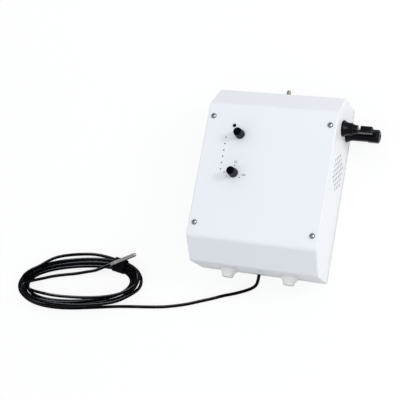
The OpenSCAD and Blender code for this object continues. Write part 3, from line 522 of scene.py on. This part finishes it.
def raise_bump(tree, shader, height, strength, distance):
    bump = tree.nodes.new("ShaderNodeBump")
    bump.inputs["Strength"].default_value = strength
    bump.inputs["Distance"].default_value = distance
    tree.links.new(height, bump.inputs["Height"])
    tree.links.new(bump.outputs["Normal"], shader.inputs["Normal"])


def plastic(name, colour, roughness, grain=900.0, depth=0.02, change=0.03, specular=0.5):
    """Moulded plastic, nylon or rubber: a faint grain, clouded gloss and a slight change of tone."""
    material, tree, shader = start_material(name)
    grains = tree.nodes.new("ShaderNodeGroup")
    grains.node_tree = bpy.data.node_groups["Moulded grain"]
    grains.inputs["Grain size"].default_value = grain
    tree.links.new(object_place(tree), grains.inputs["Vector"])
    tree.links.new(tint(tree, grains.outputs["Cloud"], colour, change), shader.inputs["Base Color"])
    gloss = spread(tree, grains.outputs["Cloud"], roughness*0.85, roughness*1.15)
    tree.links.new(gloss, shader.inputs["Roughness"])
    raise_bump(tree, shader, grains.outputs["Grain"], depth, 0.2*MM)
    shader.inputs["Specular IOR Level"].default_value = specular
    return material


def metal(name, colour, roughness, stretch, change=0.06):
    """Drawn or plated metal with fine lines."""
    material, tree, shader = start_material(name)
    brushed = tree.nodes.new("ShaderNodeGroup")
    brushed.node_tree = bpy.data.node_groups["Brushed lines"]
    brushed.inputs["Stretch"].default_value = stretch
    tree.links.new(object_place(tree), brushed.inputs["Vector"])
    tree.links.new(tint(tree, brushed.outputs["Lines"], colour, change), shader.inputs["Base Color"])
    gloss = spread(tree, brushed.outputs["Lines"], roughness*0.8, roughness*1.2)
    tree.links.new(gloss, shader.inputs["Roughness"])
    raise_bump(tree, shader, brushed.outputs["Lines"], 0.15, 0.05*MM)
    shader.inputs["Metallic"].default_value = 1
    return material


def board_finish():
    """Green lacquered board with copper tracks showing faintly through."""
    material, tree, shader = start_material("board_lacquer")
    bricks = tree.nodes.new("ShaderNodeTexBrick")
    bricks.inputs["Scale"].default_value = 90
    bricks.inputs["Color1"].default_value = (0.010, 0.085, 0.035, 1)
    bricks.inputs["Color2"].default_value = (0.014, 0.110, 0.045, 1)
    bricks.inputs["Mortar"].default_value = (0.030, 0.180, 0.070, 1)
    bricks.inputs["Mortar Size"].default_value = 0.04
    tree.links.new(object_place(tree), bricks.inputs["Vector"])
    tree.links.new(bricks.outputs["Color"], shader.inputs["Base Color"])
    raise_bump(tree, shader, bricks.outputs["Fac"], 0.2, 0.05*MM)
    shader.inputs["Roughness"].default_value = 0.3
    return material


def winding_finish():
    """Copper winding: close turns round the ring."""
    material, tree, shader = start_material("choke_winding")
    wave = tree.nodes.new("ShaderNodeTexWave")
    wave.wave_type = "RINGS"
    wave.inputs["Scale"].default_value = 260
    tree.links.new(object_place(tree), wave.inputs["Vector"])
    tree.links.new(tint(tree, wave.outputs["Fac"], (0.42, 0.17, 0.06), 0.35), shader.inputs["Base Color"])
    raise_bump(tree, shader, wave.outputs["Fac"], 0.6, 0.4*MM)
    shader.inputs["Roughness"].default_value = 0.35
    shader.inputs["Metallic"].default_value = 0.8
    return material


def lens_finish():
    """Clear unlit light pipe that looks dark against the cover."""
    material, tree, shader = start_material("light_lens")
    grains = tree.nodes.new("ShaderNodeGroup")
    grains.node_tree = bpy.data.node_groups["Moulded grain"]
    tree.links.new(object_place(tree), grains.inputs["Vector"])
    tree.links.new(tint(tree, grains.outputs["Cloud"], (0.10, 0.11, 0.12), 0.1), shader.inputs["Base Color"])
    shader.inputs["Roughness"].default_value = 0.12
    shader.inputs["Coat Weight"].default_value = 0.5
    return material


def make_finishes(finish):
    """Makes all the finishes by name."""
    grain_group()
    brushed_group()
    # A plastic's numbers are its roughness, grain size, grain depth, change of tone and shine.
    # A metal's numbers are its roughness and the stretch of its lines along each axis.
    return {
        "cover": plastic("cover_white", tuple(finish.cover_colour), 0.35, 700, 0.012, 0.004, 0.06),
        "gland": plastic("gland_nylon", tuple(finish.gland_colour), 0.42, 500, 0.03, 0.01),
        "knob": plastic("knob_black", tuple(finish.black_colour), 0.30, 1200, 0.05, 0.15, 0.02),
        # The knobs' sides are a lighter grey than their tops: a painted highlight for the light that falls
        # on their flanks.
        "knob_side": plastic("knob_side_painted_highlight", (0.018, 0.024, 0.033), 0.36, 1200, 0.05, 0.15, 0.1),
        "connector": plastic("connector_black", (0.0020, 0.0026, 0.0056), 0.28, 900, 0.06, 0.15, 0.08),
        "rubber": plastic("seal_rubber", (0.008, 0.008, 0.008), 0.65, 700, 0.08, 0.15, 0.15),
        "gasket": plastic("gasket_foam", (0.80, 0.82, 0.86), 0.7, 500, 0.1, 0.02, 0.3),
        "grommet": plastic("grommet_rubber", (0.72, 0.74, 0.77), 0.6, 500, 0.08, 0.02, 0.3),
        "red": plastic("ring_red", (0.014, 0.0035, 0.0035), 0.4, 700, 0.05, 0.1, 0.1),
        "sheath": plastic("lead_sheath", tuple(finish.sheath_colour), 0.22, 600, 0.004, 0.03, 0.035),
        "strap": plastic("strap_weave", (0.0020, 0.0021, 0.0032), 0.7, 1400, 0.3, 0.2, 0.04),
        "print": plastic("dial_print", tuple(finish.print_colour), 0.5, 1500, 0.02, 0.1),
        "steel": metal("zinc_steel", (0.40, 0.41, 0.43), 0.28, (700, 700, 120)),
        "probe": metal("probe_steel", (0.24, 0.24, 0.245), 0.30, (300, 1800, 1800)),
        "screw": metal("screw_steel", (0.22, 0.225, 0.24), 0.22, (700, 700, 120)),
        "brass": metal("stud_brass", (0.30, 0.28, 0.23), 0.30, (900, 200, 900)),
        "fins": metal("fin_aluminium", (0.60, 0.61, 0.63), 0.35, (80, 900, 900)),
        "can": plastic("capacitor_sleeve", (0.012, 0.014, 0.05), 0.3, 400, 0.03, 0.15),
        "relay": plastic("relay_case", (0.03, 0.07, 0.28), 0.35, 600, 0.03, 0.1),
        "terminal": plastic("terminal_green", (0.03, 0.17, 0.06), 0.45, 600, 0.04, 0.1),
        "chip": plastic("chip_epoxy", (0.55, 0.45, 0.18), 0.4, 900, 0.03, 0.1),
        "pot": plastic("pot_case", (0.09, 0.09, 0.10), 0.45, 900, 0.04, 0.1),
        "lens": lens_finish(),
        "board": board_finish(),
        "winding": winding_finish(),
    }


NODE_FINISH = {
    "cover": ["front_cover", "back_plate"],
    "gland": ["gland_bodies", "gland_domes", "gland_locknuts"],
    "knob": ["upper_knob", "lower_knob", "push_button", "button_switch"],
    "connector": ["front_pv_socket", "rear_pv_socket", "pv_nuts", "fan_frame", "fan_rotor",
                  "power_transistors"],
    "rubber": ["pv_seals", "gland_seals"],
    "grommet": ["sensor_grommet"],
    "gasket": ["rear_gasket"],
    "red": ["pv_ring"],
    "sheath": ["inner_lead", "sensor_lead", "sensor_coil"],
    "strap": ["cable_wrap"],
    "steel": ["left_rail", "right_rail", "rail_screws", "control_screws", "main_screws", "fan_screws",
              "terminal_screws", "upper_shaft", "lower_shaft", "pv_contacts"],
    "screw": ["cover_screws"],
    "probe": ["sensor_probe"],
    "brass": ["main_standoffs", "earth_stud", "earth_nuts", "earth_washers"],
    "fins": ["heat_sink"],
    "can": ["storage_capacitors"],
    "relay": ["relay"],
    "terminal": ["terminal_block"],
    "chip": ["light_chips"],
    "pot": ["upper_pot", "lower_pot"],
    "lens": ["light_pipes"],
    "board": ["control_board", "main_board"],
    "winding": ["output_choke"],
}
FINISHES = {}


# Operators

class INVERTER_OT_camera(bpy.types.Operator):
    """Places the camera at the photograph's viewing angle"""
    bl_idname = "inverter.camera"
    bl_label = "Place camera"

    def execute(self, context):
        turn = Matrix((CAMERA_RIGHT, -CAMERA_DOWN, -CAMERA_AHEAD)).transposed().to_4x4()
        deselect()
        bpy.ops.object.camera_add()
        camera = context.object
        camera.name = "photo_camera"
        camera.matrix_world = Matrix.Translation(CAMERA_PLACE) @ turn
        camera.data.lens = context.scene.inverter_stage.focal_length
        camera.data.sensor_width = SENSOR_WIDE
        camera.data.clip_start = 0.05
        camera.data.clip_end = 50
        context.scene.camera = camera
        return {"FINISHED"}


class INVERTER_OT_finishes(bpy.types.Operator):
    """Makes the finishes and gives each CAD node its own"""
    bl_idname = "inverter.finishes"
    bl_label = "Make finishes"

    def execute(self, context):
        FINISHES.update(make_finishes(context.scene.inverter_finish))
        for finish, names in NODE_FINISH.items():
            for name in names:
                dress(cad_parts[name], FINISHES[finish])
        return {"FINISHED"}


class INVERTER_OT_sensor_lead(bpy.types.Operator):
    """Lays the sensor lead, its coil, the strap round it and the probe on its end"""
    bl_idname = "inverter.sensor_lead"
    bl_label = "Lay sensor lead"

    def execute(self, context):
        lead = context.scene.inverter_lead
        points, heading = lead_points(lead)
        line = bpy.data.curves.new("sensor_cable", "CURVE")
        line.dimensions = "3D"
        line.bevel_depth = lead.diameter/2
        line.bevel_resolution = 4
        line.use_fill_caps = True
        run = line.splines.new("POLY")
        run.points.add(len(points) - 1)
        for place, point in zip(run.points, points):
            place.co = (*point, 1)
        run.use_smooth = True
        cable = bpy.data.objects.new("sensor_cable", line)
        context.scene.collection.objects.link(cable)
        dress(cable, FINISHES["sheath"])
        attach(cable, HOUSING)
        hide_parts("sensor_lead", "sensor_coil")

        probe = make_probe(lead, points[-1], heading)
        strap = make_strap(lead)
        return {"FINISHED"}


def make_probe(lead, place, heading):
    """Steel tube with two crimped rings where the lead enters and a domed tip."""
    wide = lead.probe_diameter/2
    long = lead.probe_length
    neck = wide - PROBE_STEP*MM
    edge = PROBE_EDGE*MM
    collar = PROBE_NECK_LONG*MM
    steps = [(0, neck - edge), (edge, neck), (collar, neck), (collar + PROBE_SLOPE*MM, wide)]
    waist = wide - CRIMP_DEEP*MM
    slope = CRIMP_SLOPE*MM
    for crimp in CRIMP_PLACES:
        start = crimp*MM
        end = start + CRIMP_LONG*MM
        steps += [(start, wide), (start + slope, waist), (end - slope, waist), (end, wide)]
    tip = long - wide
    steps += [(tip + wide*sin(t*pi/16), wide*cos(t*pi/16)) for t in range(8)]
    probe = turned("probe_tube", steps, 32)
    turn = heading.to_track_quat("Z", "Y").to_matrix().to_4x4()
    settle(probe, Matrix.Translation(place) @ turn)
    dress(probe, FINISHES["probe"])
    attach(probe, HOUSING)
    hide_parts("sensor_probe")
    return probe


def make_strap(lead):
    """Band with rounded corners round the coil's turns."""
    near = coil_flat(WRAP_ANGLE, WRAP_REACH[1])
    far = coil_flat(WRAP_ANGLE, WRAP_REACH[0])
    ahead = coil_flat(WRAP_ANGLE - radians(1), 0.5)
    behind = coil_flat(WRAP_ANGLE + radians(1), 0.5)
    heading = (ahead - behind).normalized()
    gap = far - near
    wide = lead.diameter/MM
    reach = abs(heading.x*gap.y - heading.y*gap.x)
    across = (reach + wide + 2*SOFT_FIT + WRAP_ROOM + 2*WRAP_THICK)*MM
    height = (wide + TURN_UP + 2*SOFT_FIT + 2*WRAP_THICK)*MM
    deselect()
    bpy.ops.mesh.primitive_cube_add(size=1)
    band = bpy.context.object
    band.name = "coil_strap"
    band.scale = (lead.strap_width, across, height)
    bpy.ops.object.transform_apply(location=True, rotation=True, scale=True)
    select_faces(band, lambda face: abs(face.normal.x) > 0.9)
    bpy.ops.mesh.delete(type="FACE")
    select_edges(band, lambda a, b: abs(a.x - b.x) > lead.strap_width/2)
    bpy.ops.mesh.bevel(offset=STRAP_CORNER*MM, segments=6, affect="EDGES")
    bpy.ops.object.mode_set(mode="OBJECT")
    skin = band.modifiers.new("thickness", "SOLIDIFY")
    skin.thickness = WRAP_THICK*MM
    skin.offset = -1
    add_soft_edge(band, STRAP_EDGE*MM, 50)
    apply_modifiers(band)
    middle = (near + far)/2
    turn = Matrix.Rotation(atan2(heading.y, heading.x), 4, "Z")
    settle(band, Matrix.Translation((middle.x*MM, middle.y*MM, height/2)) @ turn)
    dress(band, FINISHES["strap"])
    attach(band, HOUSING)
    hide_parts("cable_wrap")
    return band


class INVERTER_OT_controls(bpy.types.Operator):
    """Softens the edges of the knobs and the button, and paints the knobs' upright sides a lighter grey than
    their tops as a painted highlight for the light on their flanks
    """
    bl_idname = "inverter.controls"
    bl_label = "Make controls"

    def execute(self, context):
        edge = KNOB_EDGE*MM
        upper = softened("upper_knob", "upper_dial_knob", "knob", "upper_dial", edge)
        lower = softened("lower_knob", "lower_dial_knob", "knob", "lower_dial", edge)
        # Painted highlight: the knobs' upright sides get the lighter grey.
        for knob in (upper, lower):
            dress_sides(knob, FINISHES["knob_side"])
        softened("push_button", "button_cap", "knob", "button", edge)
        return {"FINISHED"}


def dress_sides(piece, material):
    """Gives the upright faces of a piece a material of their own."""
    piece.data.materials.append(material)
    select_faces(piece, lambda face: abs(face.normal.z) < 0.7)
    piece.active_material_index = 1
    bpy.ops.object.material_slot_assign()
    bpy.ops.object.mode_set(mode="OBJECT")


class INVERTER_OT_cover_screws(bpy.types.Operator):
    """Turns the domed cover screws and cuts their cross recesses"""
    bl_idname = "inverter.cover_screws"
    bl_label = "Make cover screws"

    def execute(self, context):
        low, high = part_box("cover_screws")
        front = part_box("front_cover")[1].z
        head = SCREW_HEAD/2*MM
        dome = high.z - front
        first = make_screw(head, dome, low.z - front)
        screws = []
        for x in (low.x + head, high.x - head):
            for y in (low.y + head, high.y - head):
                screw = first.copy()
                screw.data = first.data.copy()
                context.scene.collection.objects.link(screw)
                settle(screw, Matrix.Translation((x, y, front)), 25)
                screws.append(screw)
        bpy.data.objects.remove(first)
        heads = join(screws, "domed_screws")
        dress(heads, FINISHES["screw"])
        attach(heads, HOUSING)
        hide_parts("cover_screws")
        return {"FINISHED"}


def make_screw(head, dome, foot):
    """A screw on the Z axis with a domed head, a cross recess and a plain shank."""
    shank = SCREW_WIDE/2*MM
    steps = [(foot, shank), (0, shank), (0, head)]
    for part in range(1, DOME_PARTS):
        angle = radians(90*part/DOME_PARTS)
        steps.append((dome*sin(angle), head*cos(angle)))
    screw = turned("screw", steps, 48)
    cutters = []
    for turn in (0, 90):
        deselect()
        bpy.ops.mesh.primitive_cube_add(size=1, location=(0, 0, dome), rotation=(0, 0, radians(turn)))
        cutter = bpy.context.object
        cutter.scale = (RECESS_LONG*MM, RECESS_WIDE*MM, 2*RECESS_DEEP*MM)
        bpy.ops.object.transform_apply(location=True, rotation=True, scale=True)
        select_faces(cutter, lambda face: face.normal.z < -0.9)
        bpy.ops.transform.resize(
            value=(RECESS_FOOT, RECESS_FOOT, 1), center_override=(0, 0, dome - RECESS_DEEP*MM))
        bpy.ops.object.mode_set(mode="OBJECT")
        cutters.append(cutter)
    for cutter in cutters:
        cut = screw.modifiers.new("recess", "BOOLEAN")
        cut.operation = "DIFFERENCE"
        cut.object = cutter
    apply_modifiers(screw)
    for cutter in cutters:
        bpy.data.objects.remove(cutter)
    return screw


class INVERTER_OT_connectors(bpy.types.Operator):
    """Softens the edges of the solar connectors"""
    bl_idname = "inverter.connectors"
    bl_label = "Make connectors"

    def execute(self, context):
        edge = CONNECTOR_EDGE*MM
        softened("front_pv_socket", "front_connector", "connector", HOUSING, edge)
        softened("rear_pv_socket", "rear_connector", "connector", HOUSING, edge)
        softened("pv_ring", "connector_ring", "red", HOUSING, RING_EDGE*MM)
        return {"FINISHED"}


class INVERTER_OT_glands(bpy.types.Operator):
    """Softens the edges of the cable glands"""
    bl_idname = "inverter.glands"
    bl_label = "Make glands"

    def execute(self, context):
        softened("gland_bodies", "gland_flanges", "gland", HOUSING, GLAND_EDGE*MM)
        softened("gland_domes", "gland_caps", "gland", HOUSING, GLAND_EDGE*MM)
        return {"FINISHED"}


class INVERTER_OT_earth_stud(bpy.types.Operator):
    """Cuts the thread of the earth stud and softens its nuts and washers"""
    bl_idname = "inverter.earth_stud"
    bl_label = "Make earth stud"

    def execute(self, context):
        low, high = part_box("earth_stud")
        wide = (high.x - low.x)/2
        long = high.y - low.y
        pitch = THREAD_PITCH*MM
        cut = THREAD_DEEP*MM
        steps = [(0, wide - 2*cut), (0.4*pitch, wide - cut)]
        for turn in range(1, int(long/pitch) - 1):
            start = turn*pitch
            steps += [(start, wide - cut), (start + 0.4*pitch, wide), (start + 0.55*pitch, wide),
                      (start + 0.95*pitch, wide - cut)]
        steps += [(long - 0.6*pitch, wide - cut), (long, wide - 2*cut)]
        stud = turned("earth_thread", steps, 32)
        place = Matrix.Translation(((low.x + high.x)/2, low.y, (low.z + high.z)/2))
        settle(stud, place @ Matrix.Rotation(radians(-90), 4, "X"))
        dress(stud, FINISHES["brass"])
        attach(stud, HOUSING)
        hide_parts("earth_stud")
        softened("earth_nuts", "earth_hex_nuts", "brass", HOUSING, NUT_EDGE*MM)
        softened("earth_washers", "earth_plain_washers", "brass", HOUSING, WASHER_EDGE*MM)
        return {"FINISHED"}


class INVERTER_OT_dial_marks(bpy.types.Operator):
    """Prints the scale round the lower dial"""
    bl_idname = "inverter.dial_marks"
    bl_label = "Print dial marks"

    def execute(self, context):
        low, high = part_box("lower_knob")
        middle = (low + high)/2
        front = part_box("front_cover")[1].z
        thick = PRINT_THICK*MM
        pieces = []
        for bearing, number, shift in DIAL_NUMBERS:
            away = Vector((sin(radians(bearing)), cos(radians(bearing)), 0))
            spot = Vector((middle.x, middle.y, front)) + away*DOT_AWAY*MM
            deselect()
            bpy.ops.mesh.primitive_cylinder_add(
                vertices=20, radius=DOT_RADIUS*MM, depth=thick, location=spot)
            dot = context.object
            bpy.ops.object.transform_apply(location=True, rotation=True, scale=True)
            select_faces(dot, lambda face: face.normal.z > 0.9)
            bpy.ops.mesh.inset(thickness=DOT_INSET*MM, depth=DOT_RISE*MM)
            bpy.ops.object.mode_set(mode="OBJECT")
            pieces.append(dot)
            deselect()
            bpy.ops.object.text_add(location=spot + Vector((*shift, 0))*MM)
            words = context.object
            words.data.body = number
            words.data.size = NUMBER_TALL*MM
            words.data.align_x = "CENTER"
            words.data.align_y = "CENTER"
            words.data.extrude = thick/2
            bpy.ops.object.convert(target="MESH")
            pieces.append(context.object)
            bpy.ops.object.transform_apply(location=True, rotation=True, scale=True)
        marks = join(pieces, "dial_marks")
        settle(marks)
        dress(marks, FINISHES["print"])
        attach(marks, HOUSING)
        return {"FINISHED"}


class INVERTER_OT_stage(bpy.types.Operator):
    """Lays the floor and sets the studio light"""
    bl_idname = "inverter.stage"
    bl_label = "Set stage"

    def execute(self, context):
        stage = context.scene.inverter_stage
        deselect()
        bpy.ops.mesh.primitive_plane_add(size=FLOOR_SIZE, location=(0, 0, -FLOOR_DROP))
        floor = context.object
        floor.name = "studio_floor"
        dress(floor, floor_finish(tuple(stage.floor_colour)))
        area_light("key_light", KEY_PLACE, ORIGIN, KEY_SIZE, stage.key_power, WARM)
        area_light("table_light", TABLE_PLACE, TABLE_TARGET, TABLE_SIZE, stage.table_power, WARM)
        right = area_light("right_glint", RIGHT_GLINT_PLACE, ORIGIN, GLINT_SIZE, stage.glint_power, WHITE)
        left = area_light("left_glint", LEFT_GLINT_PLACE, ORIGIN, GLINT_SIZE, stage.lead_power, COOL)
        for glint in (right, left):
            glint.visible_diffuse = False
        lit = bpy.data.collections.new("lit_by_left_glint")
        lit.objects.link(bpy.data.objects["sensor_cable"])
        left.light_linking.receiver_collection = lit
        world = bpy.data.worlds.new("studio_sky")
        context.scene.world = world
        world.use_nodes = True
        tree = world.node_tree
        back = tree.nodes["Background"]
        seen = seen_directly(tree)
        strength = tree.nodes.new("ShaderNodeMapRange")
        strength.inputs["To Min"].default_value = stage.sky
        strength.inputs["To Max"].default_value = 1
        tree.links.new(seen, strength.inputs["Value"])
        tree.links.new(strength.outputs["Result"], back.inputs["Strength"])
        tree.links.new(white_where_seen(tree, seen, stage.sky_colour), back.inputs["Color"])
        context.scene.view_settings.view_transform = "Standard"
        return {"FINISHED"}


def seen_directly(tree):
    """One for rays from the camera and for those mirrored or passed on to it."""
    path = tree.nodes.new("ShaderNodeLightPath")
    total = path.outputs["Is Camera Ray"]
    for kind in ("Is Glossy Ray", "Is Transmission Ray"):
        more = tree.nodes.new("ShaderNodeMath")
        more.operation = "MAXIMUM"
        tree.links.new(total, more.inputs[0])
        tree.links.new(path.outputs[kind], more.inputs[1])
        total = more.outputs["Value"]
    return total


def white_where_seen(tree, seen, colour):
    """White for what the camera sees, and the colour for the light that it throws."""
    mix = tree.nodes.new("ShaderNodeMix")
    mix.data_type = "RGBA"
    mix.inputs["A"].default_value = (*colour, 1)
    mix.inputs["B"].default_value = (*WHITE, 1)
    tree.links.new(seen, mix.inputs["Factor"])
    return mix.outputs["Result"]


def floor_finish(colour):
    """Pale floor that the camera sees as white, apart from a faint shadow."""
    material, tree, shader = start_material("studio_floor")
    seen = seen_directly(tree)
    tree.links.new(white_where_seen(tree, seen, colour), shader.inputs["Base Color"])
    shader.inputs["Roughness"].default_value = 0.9
    glow = tree.nodes.new("ShaderNodeEmission")
    glow.inputs["Color"].default_value = (*WHITE, 1)
    share = tree.nodes.new("ShaderNodeMath")
    share.operation = "MULTIPLY"
    share.inputs[1].default_value = FLOOR_GLOW
    tree.links.new(seen, share.inputs[0])
    mix = tree.nodes.new("ShaderNodeMixShader")
    tree.links.new(share.outputs["Value"], mix.inputs["Fac"])
    tree.links.new(shader.outputs["BSDF"], mix.inputs[1])
    tree.links.new(glow.outputs["Emission"], mix.inputs[2])
    tree.links.new(mix.outputs["Shader"], tree.nodes["Material Output"].inputs["Surface"])
    return material


def area_light(name, place, target, size, power, colour):
    """A square soft light that faces its target and that the camera doesn't see."""
    deselect()
    bpy.ops.object.light_add(type="AREA", location=place)
    light = bpy.context.object
    light.name = name
    light.data.size = size
    light.data.energy = power
    light.data.color = colour
    light.rotation_euler = (Vector(target) - Vector(place)).to_track_quat("-Z", "Y").to_euler()
    light.visible_camera = False
    return light


class INVERTER_PT_sidebar(bpy.types.Panel):
    """Lists the inverter's pieces and settings"""
    bl_label = "Inverter"
    bl_idname = "INVERTER_PT_sidebar"
    bl_space_type = "VIEW_3D"
    bl_region_type = "UI"
    bl_category = "Inverter"

    def draw(self, context):
        layout = self.layout
        for step in STEPS:
            layout.operator(step.bl_idname)
        for group in SETTINGS:
            settings = getattr(context.scene, group)
            for name in settings.__annotations__:
                layout.prop(settings, name)


SETTINGS = {
    "inverter_finish": FinishSettings,
    "inverter_lead": LeadSettings,
    "inverter_stage": StageSettings,
}
STEPS = (
    INVERTER_OT_camera,
    INVERTER_OT_finishes,
    INVERTER_OT_sensor_lead,
    INVERTER_OT_controls,
    INVERTER_OT_cover_screws,
    INVERTER_OT_connectors,
    INVERTER_OT_glands,
    INVERTER_OT_earth_stud,
    INVERTER_OT_dial_marks,
    INVERTER_OT_stage,
)
CLASSES = (*SETTINGS.values(), *STEPS, INVERTER_PT_sidebar)


def register():
    for cls in CLASSES:
        bpy.utils.register_class(cls)
    for name, cls in SETTINGS.items():
        setattr(bpy.types.Scene, name, PointerProperty(type=cls))


def unregister():
    for name in SETTINGS:
        delattr(bpy.types.Scene, name)
    for cls in reversed(CLASSES):
        bpy.utils.unregister_class(cls)


def main():
    register()
    bpy.ops.inverter.camera()
    bpy.ops.inverter.finishes()
    bpy.ops.inverter.sensor_lead()
    bpy.ops.inverter.controls()
    bpy.ops.inverter.cover_screws()
    bpy.ops.inverter.connectors()
    bpy.ops.inverter.glands()
    bpy.ops.inverter.earth_stud()
    bpy.ops.inverter.dial_marks()
    bpy.ops.inverter.stage()


if __name__ == "__main__":
    main()
